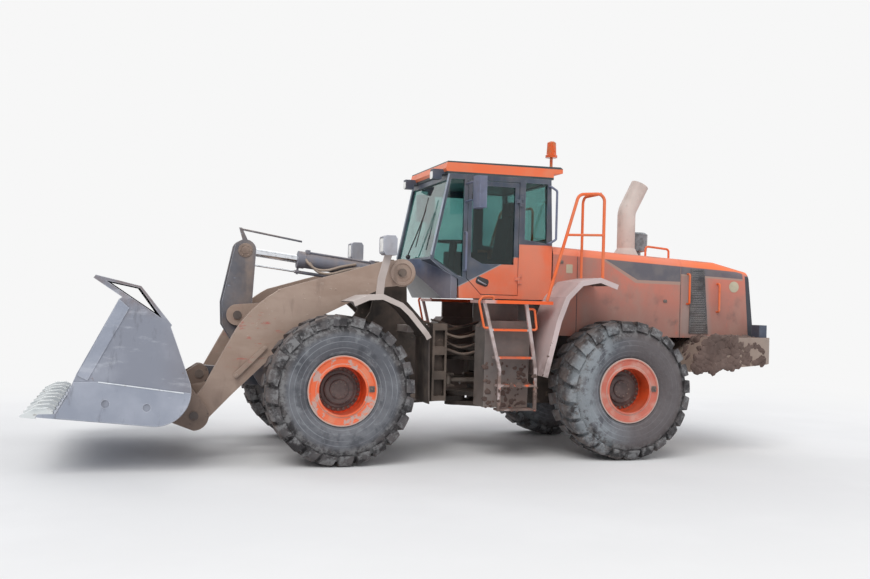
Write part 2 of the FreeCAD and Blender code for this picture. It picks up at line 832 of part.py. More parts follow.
def build_engine():
    length, width, height = size("engine_length"), size("engine_width"), size("engine_height")
    low = (-1300 - length - 100, -width / 2, size("frame_top") - 120)
    block = box("engine_box", low, (low[0] + length, width / 2, low[2] + height))
    feet = []
    for i, x in enumerate((low[0] + 120, low[0] + length - 220)):
        for side in (-1, 1):
            inside, outside = sorted((side * width / 2, side * (size("frame_half"))))
            feet.append(box(f"engine_foot_{i}_{side + 1}", (x, inside, size("frame_top")),
                            (x + 100, outside, size("frame_top") + 60)))
    fan = lathe("cooling_fan", [(0, -30), (430, -30), (430, 30), (0, 30)])
    fan.Placement = Placement(Vector(low[0] - 150, 0, low[2] + 560), Rotation(Vector(0, 0, 1), 90))
    shaft = rod("fan_shaft", (low[0], 0, low[2] + 560), (low[0] - 120, 0, low[2] + 560), "pivot_radius")
    whole = fuse("engine_block", [block, shaft, fan] + feet)
    doc.recompute()
    finish("engine_block", whole)


def cab_profile():
    return [
        (size("cab_rear"), size("cab_floor")),
        (size("cab_front_low"), size("cab_floor")),
        (size("cab_front_low") + 15, size("cab_sill") - 225),
        (size("cab_front_sill"), size("cab_sill")),
        (size("cab_front_top"), size("cab_top")),
        (size("cab_rear") + 30, size("cab_top")),
        (size("cab_rear"), size("cab_sill") + 235),
    ]


def front_pane_outline():
    """The side window ahead of the door."""
    sill, top = size("cab_sill"), size("cab_top") - 60
    return [(size("door_front") + 45, sill - 208), (size("cab_front_low") + 22, sill - 190),
            (size("cab_front_sill") - 41, sill + 5), (size("cab_front_top") - 26, top),
            (size("door_front") + 45, top)]


def rear_pane_outline():
    """The side window behind the door."""
    sill, top = size("cab_sill") + 240, size("cab_top") - 60
    return [(size("cab_rear") + 75, sill), (size("door_rear") - 75, sill + 40),
            (size("door_rear") - 75, top), (size("cab_rear") + 75, top)]


def door_outline():
    return [(size("door_rear"), size("cab_floor") + 45), (size("door_front") - 190, size("cab_floor") + 45),
            (size("door_front"), size("cab_sill") - 215), (size("door_front"), size("cab_top") - 60),
            (size("door_rear"), size("cab_top") - 60)]


def door_window_outline():
    sill = size("cab_sill")
    return [(size("door_rear") + 60, sill - 35), (size("door_front") - 200, sill - 35),
            (size("door_front") - 55, sill + 40), (size("door_front") - 55, size("cab_top") - 125),
            (size("door_rear") + 60, size("cab_top") - 125)]


HINGE = (size("door_rear") - 2, size("cab_half") + size("hinge_out"))
HINGE_LEVELS = (size("cab_floor") + 250, size("cab_top") - 290)
WINDSCREEN = (size("cab_sill") + 30, size("cab_top") - 70)
REAR_WINDOW = (size("cab_sill") + 300, size("cab_top") - 70)


def build_cab():
    body = new_body("cab_frame")
    profile = cab_profile()
    add_pad(body, "cab_block", "XZ_Plane", [profile], "-cab_half", "cab_half")
    add_pocket(body, "cab_room", "XZ_Plane", [inset(profile, size("cab_wall"))],
               "-cab_half + cab_wall", "cab_half - cab_wall")
    add_pocket(body, "left_openings", "XZ_Plane",
               [door_outline(), front_pane_outline(), rear_pane_outline()],
               "cab_half - cab_wall - 5", "cab_half + 5")
    add_pocket(body, "right_openings", "XZ_Plane",
               [door_window_outline(), front_pane_outline(), rear_pane_outline()],
               "-cab_half - 5", "-cab_half + cab_wall + 5")
    half = size("cab_half") - size("corner_post")
    add_pocket(body, "windscreen", "YZ_Plane", [rectangle(-half, WINDSCREEN[0], half, WINDSCREEN[1])],
               "cab_front_top - 120", "cab_front_sill + 60")
    half = size("cab_half") - size("rear_post")
    add_pocket(body, "rear_window", "YZ_Plane", [rectangle(-half, REAR_WINDOW[0], half, REAR_WINDOW[1])],
               "cab_rear - 20", "cab_rear + cab_wall + 60")
    face, (x, y) = size("cab_half"), HINGE
    strap = [(x, y + 14), (x - 40, face + 12), (x - 40, face - 5), (x - 16, face - 5), (x - 16, y - 14),
             (x, y - 14), (x + 14, y, x, y + 14)]
    for i, level in enumerate(HINGE_LEVELS):
        for place, low, high in (("low", -60, -22), ("high", 22, 60)):
            add_pad(body, f"hinge_strap_{i}_{place}", "XY_Plane", [strap], str(level + low), str(level + high))
        add_pad(body, f"hinge_pin_{i}", "XY_Plane", [circle(HINGE, size("hinge_radius"))],
                str(level - 60), str(level + 60))
    finish("cab_frame", body)

    gap = size("seat_gap")
    panes = []
    for name, outline in (("front", front_pane_outline()), ("rear", rear_pane_outline())):
        panes += both_sides(f"pane_{name}", "XZ_Plane", [inset(outline, gap)],
                            "cab_half - 30", "cab_half - 30 + glass_thick")
    panes.append(slab("pane_right_middle", "XZ_Plane", [inset(door_window_outline(), gap)],
                      "-cab_half + 30 - glass_thick", "-cab_half + 30"))
    lean = math.degrees(math.atan2(size("cab_front_sill") - size("cab_front_top"),
                                   size("cab_top") - size("cab_sill")))
    slope = math.tan(math.radians(lean))
    x_at = lambda z: size("cab_front_sill") - (z - size("cab_sill")) * slope
    thick = size("glass_thick")
    edge = [(x_at(z) - back, z) for z, back in (
        (WINDSCREEN[0] + gap, 24 + thick), (WINDSCREEN[0] + gap, 24),
        (WINDSCREEN[1] - gap, 24), (WINDSCREEN[1] - gap, 24 + thick))]
    panes.append(slab("pane_windscreen", "XZ_Plane", [edge], "-cab_half + corner_post + seat_gap",
                      "cab_half - corner_post - seat_gap"))
    back = size("cab_rear") + 30
    rear_edge = rectangle(back, REAR_WINDOW[0] + gap, back + thick, REAR_WINDOW[1] - gap)
    panes.append(slab("pane_back", "XZ_Plane", [rear_edge], "-cab_half + rear_post + seat_gap",
                      "cab_half - rear_post - seat_gap"))
    group("cab_glass", panes)


def build_door():
    outline = inset(door_outline(), size("door_gap"))
    door = new_body("cab_door")
    add_pad(door, "door_leaf", "XZ_Plane", [outline], "cab_half - cab_wall + 5", "cab_half")
    add_pocket(door, "door_window", "XZ_Plane", [door_window_outline()],
               "cab_half - cab_wall - 5", "cab_half + 5")
    face, (x, y) = size("cab_half"), HINGE
    sleeve = [(x, y + 14), (x - 14, y, x, y - 14), (x + 14, y - 14), (x + 14, face - 5), (x + 44, face - 5),
              (x + 44, face + 12)]
    hole = circle(HINGE, size("hinge_radius") + size("running_gap"))
    for i, level in enumerate(HINGE_LEVELS):
        add_pad(door, f"door_sleeve_{i}", "XY_Plane", [sleeve, hole], str(level - 20), str(level + 20))
    finish("cab_door", door)
    pane = slab("door_glass", "XZ_Plane", [inset(door_window_outline(), size("seat_gap"))],
                "cab_half - 30", "cab_half - 30 + glass_thick")
    finish("door_glass", pane)


def build_roof():
    low, high = size("cab_top"), size("cab_top") + size("roof_height")
    front, rear = size("roof_front"), size("roof_rear")
    side = [(size("cab_rear"), low), (front - 30, low), (front, low + 60), (front - 25, high),
            (rear + 30, high + 10), (rear, high - 10), (rear, low + 84), (rear + 100, low + 70),
            (size("cab_rear"), low + 70)]
    roof = new_body("cab_roof")
    add_pad(roof, "roof_block", "XZ_Plane", [side], "-cab_half", "cab_half")
    finish("cab_roof", roof)


def build_cab_front():
    """The dark cover under the windscreen, narrowed so that the towers swing past."""
    rim = size("steering_clear")
    low = size("cab_front_low") + 25
    side = size("cab_half") - 20
    corner = (340, side)
    flank = (rim * math.cos(math.radians(36)), rim * math.sin(math.radians(36)))
    plan = [(low, -side), (corner[0], -side), (flank[0], -flank[1]),
            (rim, 0, flank[0], flank[1]), corner, (low, side)]
    nose = new_body("cab_nose")
    add_pad(nose, "nose_block", "XY_Plane", [plan], "cab_floor - 10", "cab_sill + 10")
    under = [(low - 10, size("cab_floor") - 20), (rim + 20, size("cab_floor") - 20),
             (rim + 20, size("cab_sill") - 60), (low + 150, size("cab_floor") - 10)]
    add_pocket(nose, "nose_under", "XZ_Plane", [under], "-cab_half", "cab_half")
    foot, sill = Vector(low - 10, size("cab_sill") - 225, 0), Vector(size("cab_front_sill"), size("cab_sill"), 0)
    along = (sill - foot).normalize()
    off = Vector(along.y, -along.x, 0) * size("seat_gap")
    foot, sill = foot + off - along * 40, sill + off
    behind = [(foot.x, foot.y), (foot.x, sill.y + 40), (sill.x, sill.y + 40), (sill.x, sill.y)]
    add_pocket(nose, "nose_behind", "XZ_Plane", [behind], "-cab_half", "cab_half")
    finish("cab_nose", nose)


def build_seat():
    """The driver's seat, console and steering column."""
    floor = size("cab_floor") + size("cab_wall")
    base = box("seat_base", (-620, -190, floor), (-260, 190, floor + 330))
    cushion = box("seat_cushion", (-650, -250, floor + 330), (-140, 250, floor + 450))
    back = slab("seat_back", "XZ_Plane", [[(-660, floor + 450), (-530, floor + 450),
                (-620, floor + 1010), (-710, floor + 1010)]], "-240", "240")
    head = slab("head_rest", "XZ_Plane", [[(-700, floor + 1010), (-630, floor + 1010),
                (-650, floor + 1200), (-720, floor + 1200)]], "-140", "140")
    column = rod("steering_column", (130, 0, floor + 5), (70, 0, floor + 640), "pivot_radius")
    wheel = lathe("steering_wheel", [(172, -14), (204, -14), (204, 14), (172, 14)], (70, 0, floor + 670), "Z")
    hub = rod("wheel_hub", (70, 0, floor + 610), (70, 0, floor + 680), "pivot_radius")
    spoke = box("wheel_spoke", (50, -185, floor + 660), (90, 185, floor + 676))
    console = box("side_console", (-500, -480, floor), (50, -290, floor + 560))
    whole = fuse("seat_set", [base, cushion, back, head])
    steering = fuse("steering_set", [column, hub, spoke, wheel])
    group("cab_seat", [whole, steering, console])


def build_bucket():
    slope = math.radians(size("floor_slope"))
    along = Vector(-math.cos(slope), -math.sin(slope), 0)
    rise = Vector(math.sin(slope), -math.cos(slope), 0)
    lean = math.radians(size("back_lean"))
    up = Vector(math.cos(lean), math.sin(lean), 0)
    radius = size("heel_radius")
    foot = (size("back_foot_x"), size("back_foot_z"))
    centre = (foot[0] + radius * math.sin(lean), foot[1] - radius * math.cos(lean))
    low_angle, back_angle = -90 + size("floor_slope"), 90 + size("back_lean")
    front = (size("floor_front_x"), size("floor_front_z"))
    head = (foot[0] + up.x * size("back_height"), foot[1] + up.y * size("back_height"))
    tip = (size("lip_tip_x"), size("lip_tip_z"))
    share = 0.62
    corner = (head[0] + (tip[0] - head[0]) * share, head[1] + (tip[1] - head[1]) * share)
    low_end = polar(centre, radius, low_angle)
    middle = (low_angle + back_angle - 360) / 2
    front = (front[0], low_end[1] + (front[0] - low_end[0]) * math.tan(slope))
    silhouette = [
        front, low_end,
        (*polar(centre, radius, middle), *polar(centre, radius, back_angle)),
        head, corner,
        (corner[0] + 52, corner[1] - 40),
        (4509, 1033), (4600, 800), (4700, front[1] + 45),
    ]
    sheet_ = size("bucket_sheet")
    inner_radius = radius - sheet_
    plate = math.atan2(tip[1] - head[1], tip[0] - head[0])
    across = Vector(math.sin(plate), -math.cos(plate), 0)
    start = polar(centre, inner_radius, back_angle)
    bend = math.tan((lean - plate) / 2) * sheet_
    knee = (start[0] + up.x * (size("back_height") - bend), start[1] + up.y * (size("back_height") - bend))
    far = 900
    room = [
        (front[0] + far, front[1] + far * math.tan(slope) + sheet_ / math.cos(slope)),
        polar(centre, inner_radius, low_angle),
        (*polar(centre, inner_radius, middle), *start),
        knee,
        (knee[0] + math.cos(plate) * 1600, knee[1] + math.sin(plate) * 1600),
    ]
    shell = new_body("bucket_shell")
    add_pad(shell, "bucket_block", "XZ_Plane", [silhouette], "-bucket_half", "bucket_half")
    add_pocket(shell, "bucket_room", "XZ_Plane", [room], "-bucket_half + bucket_side",
               "bucket_half - bucket_side")
    lip = [corner, tip, (tip[0] + across.x * sheet_, tip[1] + across.y * sheet_),
           (corner[0] + across.x * sheet_, corner[1] + across.y * sheet_)]
    add_pad(shell, "bucket_lip", "XZ_Plane", [lip], "-bucket_half", "bucket_half")
    guard = [head, tip, (tip[0] - across.x * 12, tip[1] - across.y * 12), (size("guard_x"), size("guard_z")),
             (head[0] - 10, head[1] + 20)]
    add_pad(shell, "spill_guard", "XZ_Plane", [guard], "-bucket_half", "bucket_half")
    inner_guard = inset([head, tip, (size("guard_x"), size("guard_z"))], 22)
    add_pocket(shell, "guard_room", "XZ_Plane", [inner_guard], "-bucket_half - 5", "bucket_half + 5")
    finish("bucket_shell", shell)

    start = front[0] + size("seat_gap")
    edge = [(start, front[1]), (EDGE_X, front[1] + 15), (EDGE_X + 20, front[1] + 25),
            (EDGE_X, front[1] + size("edge_thick")), (start, front[1] + size("edge_thick"))]
    cutting = slab("cutting_edge_plate", "XZ_Plane", [edge], "-bucket_half", "bucket_half")
    finish("cutting_edge", cutting)

    ring = radius - 7
    bottom = lambda x: low_end[1] + 7 + (x - low_end[0]) * math.tan(slope)
    plate_line = [
        polar(centre, ring, 181), (*polar(centre, ring, 228), *polar(centre, ring, low_angle)),
        (4690, bottom(4690)), (4690, bottom(4690) + 36), (4593, 793), (4532, 950), (4324, 956),
    ]
    holes = [circle((4227, 732), 40), circle((3824, 690), 40)]
    bar = [(4404, 970), (4500, 1020), (4122, 1795), (4022, 1705)]
    face = ("bucket_half + seat_gap", "bucket_half + seat_gap + wear_plate")
    plates = both_sides("side_wear_plate", "XZ_Plane", [plate_line] + holes, *face)
    plates += both_sides("side_edge_bar", "XZ_Plane", [bar], *face)
    group("bucket_wear_plates", plates)
    return centre, front


def build_teeth(front):
    count, width = int(size("tooth_count")), size("tooth_width")
    tip = (size("tooth_tip_x"), size("tooth_tip_z"))
    teeth = []
    spacing = (2 * size("bucket_half") - width - 2) / (count - 1)
    seat, back = front[1] + size("edge_thick") + size("seat_gap"), front[0] + 20
    nose = EDGE_X + 20.7
    outline = [(back, seat), (EDGE_X + 0.2, seat), (nose, front[1] + 25), (nose, front[1] + 2),
               (tip[0], tip[1] - 12), (tip[0], tip[1] + 6), (nose + 20, seat + 50), (back + 60, seat + 58),
               (back, seat + 30)]
    for i in range(count):
        y = -size("bucket_half") + width / 2 + 1 + i * spacing
        tooth = slab(f"tooth_{i + 1}", "XZ_Plane", [outline], str(y - width / 2), str(y + width / 2))
        wedges = [[(nose + 15, y + side * (width / 2 + 5)), (nose + 15, y + side * width / 2),
                   (tip[0] + 5, y + side * 22), (tip[0] + 5, y + side * (width / 2 + 5))] for side in (-1, 1)]
        add_pocket(tooth, f"tooth_{i + 1}_taper", "XY_Plane", wedges, "tooth_tip_z - 60", "tooth_tip_z + 200")
        teeth.append(tooth)
    group("bucket_teeth", teeth)


def build_bucket_ears(centre):
    """Hinge ears behind the bucket, two at each boom tip and two at the link."""
    heel = size("heel_radius") + 1
    ears = []
    around = [polar(centre, heel, a) for a in (-94, -112, -130, -150, -172, -188)]
    outline = [
        (BUCKET_PIN[0] - 117, BUCKET_PIN[1] + 117),
        (BUCKET_PIN[0] - 165, BUCKET_PIN[1], BUCKET_PIN[0], BUCKET_PIN[1] - 165),
        *around[:1], (*around[2], *around[-1]),
    ]
    for name, low, high in (("in", "boom_inner - free_gap - 50", "boom_inner - free_gap"),
                            ("out", "boom_inner + boom_plate + free_gap",
                             "boom_inner + boom_plate + free_gap + 50")):
        ears += both_sides(f"hinge_ear_{name}", "XZ_Plane", [outline, circle(BUCKET_PIN, PIN_HOLE)], low, high)
    low_turn, high_turn = polar(centre, heel, -170), polar(centre, heel, 165)
    upper = [low_turn, (*polar(centre, heel, 178), *high_turn),
             (LINK_FRONT[0] + 20, LINK_FRONT[1] + 110),
             (LINK_FRONT[0] - 110, LINK_FRONT[1], LINK_FRONT[0] + 10, LINK_FRONT[1] - 110)]
    ears += both_sides("link_ear", "XZ_Plane", [upper, circle(LINK_FRONT, PIN_HOLE)], "link_width / 2 + side_gap",
                       "link_width / 2 + side_gap + link_ear")
    group("bucket_ears", ears)
    pins = []
    for side in (-1, 1):
        ends = [size("boom_inner") - size("free_gap") - 62,
                size("boom_inner") + size("boom_plate") + size("free_gap") + 62]
        pins.append(rod(f"bucket_pin_{side + 1}", at(BUCKET_PIN, side * ends[0]), at(BUCKET_PIN, side * ends[1]),
                        "pin_radius"))
    group("bucket_pins", pins)


def boom_outline():
    tip, eye = size("boom_tip"), size("boom_eye")
    return [
        polar(TOWER, eye, 62),
        (*polar(TOWER, eye, 170), *polar(TOWER, eye, -72)),
        (1119, 2005), (1500, 1835), (2040, 1565), (2470, 1140), (2874, 745),
        polar(BUCKET_PIN, tip, -128),
        (*polar(BUCKET_PIN, tip, -60), *polar(BUCKET_PIN, tip, 15)),
        (3278, 722), (3222, 790), (3190, 842), (3110, 994), (2858, 1467),
        (2640, 1735, 2347, 1952),
        (1868, 2096), (1567, 2181), (1127, 2318),
    ]


def build_boom():
    hole = circle(TOWER, PIN_HOLE)
    tip_hole = circle(BUCKET_PIN, PIN_HOLE)
    arms = both_sides("boom_arm", "XZ_Plane", [boom_outline(), hole, tip_hole],
                      "boom_inner", "boom_inner + boom_plate")
    tube = rod("boom_cross_tube", at(CROSS, -size("boom_inner")), at(CROSS, size("boom_inner")), "cross_radius")
    plate = capsule(CROSS, CRANK, size("cross_radius") + 35, 125)
    brackets = both_sides("crank_bracket", "XZ_Plane", [plate, circle(CRANK, PIN_HOLE)],
                          "crank_inner + crank_plate + side_gap",
                          "crank_inner + crank_plate + side_gap + bracket_plate")
    outer = "boom_inner + boom_plate"
    cups = both_sides("tower_cup", "XZ_Plane", [circle(TOWER, 145), circle(TOWER, 115)], outer + " - 1", outer + " + 18")
    prop = [slab("prop_bar", "XZ_Plane", [capsule((2844, 959), (2528, 1272), 30, 24)], outer + " + 14", outer + " + 36")]
    for i, end in enumerate(((2844, 959), (2528, 1272))):
        prop.append(slab(f"prop_pin_{i}", "XZ_Plane", [circle(end, 14)], outer + " - 1", outer + " + 46"))
    whole = fuse("boom", arms + [tube] + brackets + cups + prop)
    doc.recompute()
    finish("boom", whole)
    reach_ = size("crank_inner") + size("crank_plate") + size("side_gap") + size("bracket_plate") + 20
    pin = rod("crank_pin_bar", at(CRANK, -reach_), at(CRANK, reach_), "pin_radius")
    finish("crank_pin", pin)


def build_crank():
    top, low, middle = CRANK_TOP, CRANK_LOW, CRANK
    outline = [
        polar(top, 130, 20),
        (*polar(top, 130, 95), *polar(top, 130, 175)),
        (middle[0] - 175, middle[1] + 120),
        polar(middle, 150, 195),
        polar(low, 115, 170),
        (*polar(low, 115, 250), *polar(low, 115, -20)),
        (middle[0] + 165, middle[1] - 120),
        (middle[0] + 178, middle[1] + 150),
    ]
    holes = [circle(middle, PIN_HOLE)]
    plates = both_sides("crank_plate", "XZ_Plane", [outline] + holes, "crank_inner", "crank_inner + crank_plate")
    web_outline = [(middle[0] - 120, middle[1] + 190), (middle[0] + 120, middle[1] + 190),
                   (middle[0] + 120, middle[1] + 230), (middle[0] - 120, middle[1] + 230)]
    web = slab("crank_web", "XZ_Plane", [web_outline], "-crank_inner", "crank_inner")
    boss = slab("crank_boss", "XZ_Plane", [circle(middle, 110), circle(middle, PIN_HOLE)],
                "-crank_inner", "crank_inner")
    side = size("crank_inner") + 30
    holder = slab("marker_holder", "XZ_Plane", [[(2680, 2495), (2750, 2505), (2800, 2668), (2765, 2668)]],
                  "crank_inner + crank_plate - 15", "crank_inner + crank_plate")
    bar = rod("marker_bar", (2785, side + 8, 2652), (2045, side + 8, 2530), "marker_rod")
    whole = fuse("bellcrank", plates + [web, boss, holder, bar])
    doc.recompute()
    finish("bellcrank", whole)


def build_link():
    half = "link_width / 2"
    outline = capsule(CRANK_LOW, LINK_FRONT, 95)
    bar = slab("tilt_link", "XZ_Plane", [outline, circle(LINK_FRONT, PIN_HOLE)], "-" + half, half)
    finish("tilt_link", bar)
    reach_ = size("link_width") / 2 + size("side_gap") + size("link_ear") + 15
    pin = rod("link_pin_bar", at(LINK_FRONT, -reach_), at(LINK_FRONT, reach_), "pin_radius")
    finish("link_pin", pin)


def cylinder_pair(label, base, eye, barrel, rod_name, y, eye_half, split, travel, marked=False):
    """A hydraulic cylinder in a plane across Y: its barrel and its rod, marked with an indicator."""
    base_v, eye_v = Vector(*at(base, y)), Vector(*at(eye, y))
    axis = (eye_v - base_v).normalize()
    start = base_v + axis * (size(barrel) * 0.9)
    end = base_v + axis * split
    hole = size("pin_radius") + size("running_gap")
    bottom = size(barrel) + 40
    bore = rod(label + "_bore", tuple(base_v + axis * bottom), tuple(end + axis * 5),
               rod_name + " + running_gap")
    tube = rod(label + "_tube", tuple(start), tuple(end), barrel)
    gland = rod(label + "_gland", tuple(end - axis * 90), tuple(end), barrel + " + 10")
    base_eye = eye_ring(label + "_base_eye", base, size(barrel) * 1.05, hole, str(y - eye_half), str(y + eye_half))
    down = Vector(axis.z, 0, -axis.x)
    at_eye = lambda back, drop: eye_v - axis * back + down * drop
    flat = lambda point: (point.x, point.z)
    drop, sleeve_front, sleeve_rear = size("marker_drop"), 640, 1280
    solids, bores, lines = [tube, gland, base_eye], [bore], []
    if marked:
        solids.append(rod(label + "_sleeve", tuple(at_eye(sleeve_front, drop)), tuple(at_eye(sleeve_rear, drop)),
                          "marker_sleeve"))
        for i, back in enumerate((660, 1200)):
            clip = [flat(at_eye(back + along, depth)) for along, depth in
                    ((0, size(barrel) - 10), (0, drop + 30), (25, drop + 30), (25, size(barrel) - 10))]
            solids.append(slab(f"{label}_clip_{i}", "XZ_Plane", [clip], "-10", "10"))
        for i, back in enumerate((745, 1560)):
            port = [flat(at_eye(back + along, -depth)) for along, depth in
                    ((0, size(barrel) - 10), (0, size(barrel) + 35), (45, size(barrel) + 35), (45, size(barrel) - 10))]
            solids.append(slab(f"{label}_port_{i}", "XZ_Plane", [port], "-60", "60"))
        bores.append(rod(label + "_sleeve_bore", tuple(at_eye(sleeve_front - 10, drop)),
                         tuple(at_eye(sleeve_rear + 10, drop)), "marker_rod + running_gap"))
        lift = math.sqrt((size(barrel) + size("line_radius") + size("seat_gap")) ** 2 - 35 ** 2)
        gap = size("seat_gap")
        for side in (-35, 35):
            ends = [at_eye(back, -lift) + Vector(0, side, 0) for back in (790 + gap, 1560 - gap)]
            lines.append(rod(f"{label}_line_{side + 35}", tuple(ends[0]), tuple(ends[1]), "line_radius"))
    shell = cut(label + "_shell", fuse(label + "_solid", solids), fuse(label + "_bores", bores) if marked else bore)
    hole_tool = rod(label + "_pin_hole", at(base, y - 400), at(base, y + 400), "pin_radius + running_gap")
    if marked:
        group(label + "_barrel", [cut(label + "_casing", shell, hole_tool)] + lines)
    else:
        whole = cut(label + "_barrel", shell, hole_tool)
        doc.recompute()
        finish(label + "_barrel", whole)
    bar = rod(label + "_bar", tuple(base_v + axis * (bottom + travel)), tuple(eye_v - axis * 60), rod_name)
    members = [bar, slab(label + "_rod_eye", "XZ_Plane", [circle(eye, size(rod_name + "_eye"))],
                         str(y - eye_half), str(y + eye_half))]
    if marked:
        holder = [flat(at_eye(back, depth)) for back, depth in ((40, 70), (40, drop + 25), (75, drop + 25), (75, 55))]
        members.append(slab(label + "_holder", "XZ_Plane", [holder], "-10", "10"))
        members.append(rod(label + "_marker", tuple(at_eye(45, drop)), tuple(at_eye(796, drop)), "marker_rod"))
    piston = fuse(label + "_rod", members)
    doc.recompute()
    finish(label + "_rod", piston)


def build_cylinders():
    split = math.dist(LIFT_BASE, LIFT_EYE) - size("lift_gland_back")
    eye_half = size("boom_inner") - size("side_gap") - size("lift_middle")
    for name, y in (("left", size("lift_middle")), ("right", -size("lift_middle"))):
        cylinder_pair(f"lift_{name}", LIFT_BASE, LIFT_EYE, "lift_barrel", "lift_rod", y, eye_half,
                      split, size("lift_back_travel"))
    tilt_split = math.dist(TOWER, CRANK_TOP) - size("tilt_gland_back")
    cylinder_pair("tilt", TOWER, CRANK_TOP, "tilt_barrel", "tilt_rod", 0,
                  size("crank_inner") - size("side_gap"), tilt_split, size("tilt_back_travel"), marked=True)


def build_steering():
    """Two cylinders beside the articulation, each a barrel and a rod."""
    z, half = size("steer_z"), size("steer_foot_half")
    hole = size("steer_pin") + size("running_gap")
    for name, side in (("left", 1), ("right", -1)):
        base = Vector(size("steer_base_x"), side * size("steer_base_y"), z)
        eye = Vector(size("steer_eye_x"), side * size("steer_eye_y"), z)
        axis = (eye - base).normalize()
        end = base + axis * 700
        tube = rod(f"steer_{name}_tube", tuple(base + axis * 45), tuple(end), "steer_barrel")
        foot = lathe(f"steer_{name}_foot", [(hole, -half), (60, -half), (60, half), (hole, half)], tuple(base), "Z")
        solid = fuse(f"steer_{name}_solid", [tube, foot])
        bore = rod(f"steer_{name}_bore", tuple(base + axis * 90), tuple(end + axis * 5), "steer_rod + running_gap")
        pin = rod(f"steer_{name}_hole", (base.x, base.y, z - 80), (base.x, base.y, z + 80),
                  "steer_pin + running_gap")
        whole = cut(f"steer_{name}_barrel", cut(f"steer_{name}_shell", solid, bore), pin)
        doc.recompute()
        finish(f"steer_{name}_barrel", whole)
        bar = rod(f"steer_{name}_bar", tuple(base + axis * (90 + size("steer_back_travel"))),
                  tuple(eye - axis * 30), "steer_rod")
        head = lathe(f"steer_{name}_head", [(0, -half), (45, -half), (45, half), (0, half)], tuple(eye), "Z")
        piston = fuse(f"steer_{name}_rod", [bar, head])
        doc.recompute()
        finish(f"steer_{name}_rod", piston)


def build_front_frame():
    rear, out = size("front_frame_rear"), size("front_plate_out")
    eye = size("pivot_eye")
    axle = (size("wheelbase") / 2, size("tyre_radius"))
    tower_top = size("tower_z") + size("boom_eye")
    side = [
        (rear, 620), (1250, 560), (2080, 640), (2160, 780), (2080, 1010), (1560, 1250),
        (1230, 1700), (1140, 2200), (1010, tower_top), (955, tower_top), (906, 2300), (880, 2270), (822, 2200),
        (786, 2130), (775, 1840), (rear + 20, 1440),
    ]
    plates = both_sides("front_side", "XZ_Plane", [side, circle(axle, size("axle_radius") + size("seat_gap"))],
                        "front_plate_out - front_plate", "front_plate_out")
    inner = out - size("front_plate")
    wall = slab("front_rear_wall", "YZ_Plane", [rectangle(-inner, 640, inner, 1430), shaft_hole()],
                "front_frame_rear + 20", "front_frame_rear + 60")
    floor = slab("front_floor", "XY_Plane", [rectangle(rear + 40, -inner, 1230, inner)], "620", "650")
    nose = slab("front_cross", "XY_Plane", [rectangle(1910, -inner, 1990, inner)], "640", "660")
    beam = slab("tower_beam", "XZ_Plane", [rectangle(870, 1860, 1150, 1940)], "-front_plate_out + front_plate",
                "front_plate_out - front_plate")
    cheek = [(800, 2180), (830, 2060), (880, 1930), (1080, 1930), (1080, 2180), (1000, 2300), (850, 2300)]
    cheeks = both_sides("tilt_cheek", "XZ_Plane", [cheek], "crank_inner + side_gap", "crank_inner + 42")
    tongues = []
    for name in ("low", "high"):
        level = f"pivot_{name}"
        outline = [(rear + 30, -eye - 90), (rear + 30, eye + 90), (0, eye), (-eye, 0, 0, -eye)]
        hole = size("pivot_radius") + size("running_gap")
        tongues.append(slab(f"front_tongue_{name}", "XY_Plane", [outline, circle((0, 0), hole)],
                            level, level + " + tongue_plate"))
    members = plates + [wall, floor, nose, beam] + cheeks + tongues
    for name, hand in (("left", 1), ("right", -1)):
        steps = new_body(f"step_box_{name}")
        near, far = hand * (out - 1), hand * size("step_box_out")
        add_pad(steps, f"step_box_{name}_block", "XZ_Plane", [rectangle(rear - 80, 640, rear + 100, 1580)],
                *(str(level) for level in sorted((near, far))))
        deep = hand * (size("step_box_out") - 80)
        recesses = [rectangle(rear - 55, z, rear + 75, z + 200) for z in (700, 1000, 1300)]
        add_pocket(steps, f"step_box_{name}_steps", "XZ_Plane", recesses,
                   *(str(level) for level in sorted((deep, far + hand * 5))))
        members.append(steps)
    members += both_sides("tower_head", "XZ_Plane", [circle(TOWER, size("tower_boss"))], "front_plate_out - 5",
                          "boom_inner - side_gap")
    end = size("boom_inner") + size("boom_plate") + 30
    for name, hand in (("left", 1), ("right", -1)):
        members.append(rod(f"lift_pin_{name}", at(LIFT_BASE, hand * (out - 10)),
                           at(LIFT_BASE, hand * (size("boom_inner") + 15)), "pin_radius"))
        members.append(rod(f"tower_pin_{name}", at(TOWER, hand * out), at(TOWER, hand * end), "pin_radius"))
        x, y, half = size("steer_eye_x"), size("steer_eye_y"), size("steer_lug")
        plan = [(x - half, hand * (y - half)), (rear + 30, hand * (y - half)), (rear + 30, hand * (y + half)),
                (x - half, hand * (y + half))]
        lug_gap = size("steer_foot_half") + size("side_gap")
        for place, low in (("under", size("steer_z") - lug_gap - 25), ("over", size("steer_z") + lug_gap)):
            members.append(slab(f"front_lug_{name}_{place}", "XY_Plane", [plan], str(low), str(low + 25)))
    members.append(rod("tilt_pin", at(TOWER, -size("crank_inner") - 40), at(TOWER, size("crank_inner") + 40),
                       "pin_radius"))
    whole = fuse("front_frame", members)
    doc.recompute()
    finish("front_frame", whole)


def fender(name, outer, low, high):
    """A bent sheet over a wheel: an outer line of points, as thick as the fender sheet."""
    inner = []
    thick = size("fender_sheet")
    for i, here in enumerate(outer):
        before = outer[max(i - 1, 0)]
        after = outer[min(i + 1, len(outer) - 1)]
        a = Vector(after[0] - before[0], after[1] - before[1], 0).normalize()
        inner.append((here[0] + a.y * thick, here[1] - a.x * thick))
    return both_sides(name, "XZ_Plane", [outer + inner[::-1]], low, high)


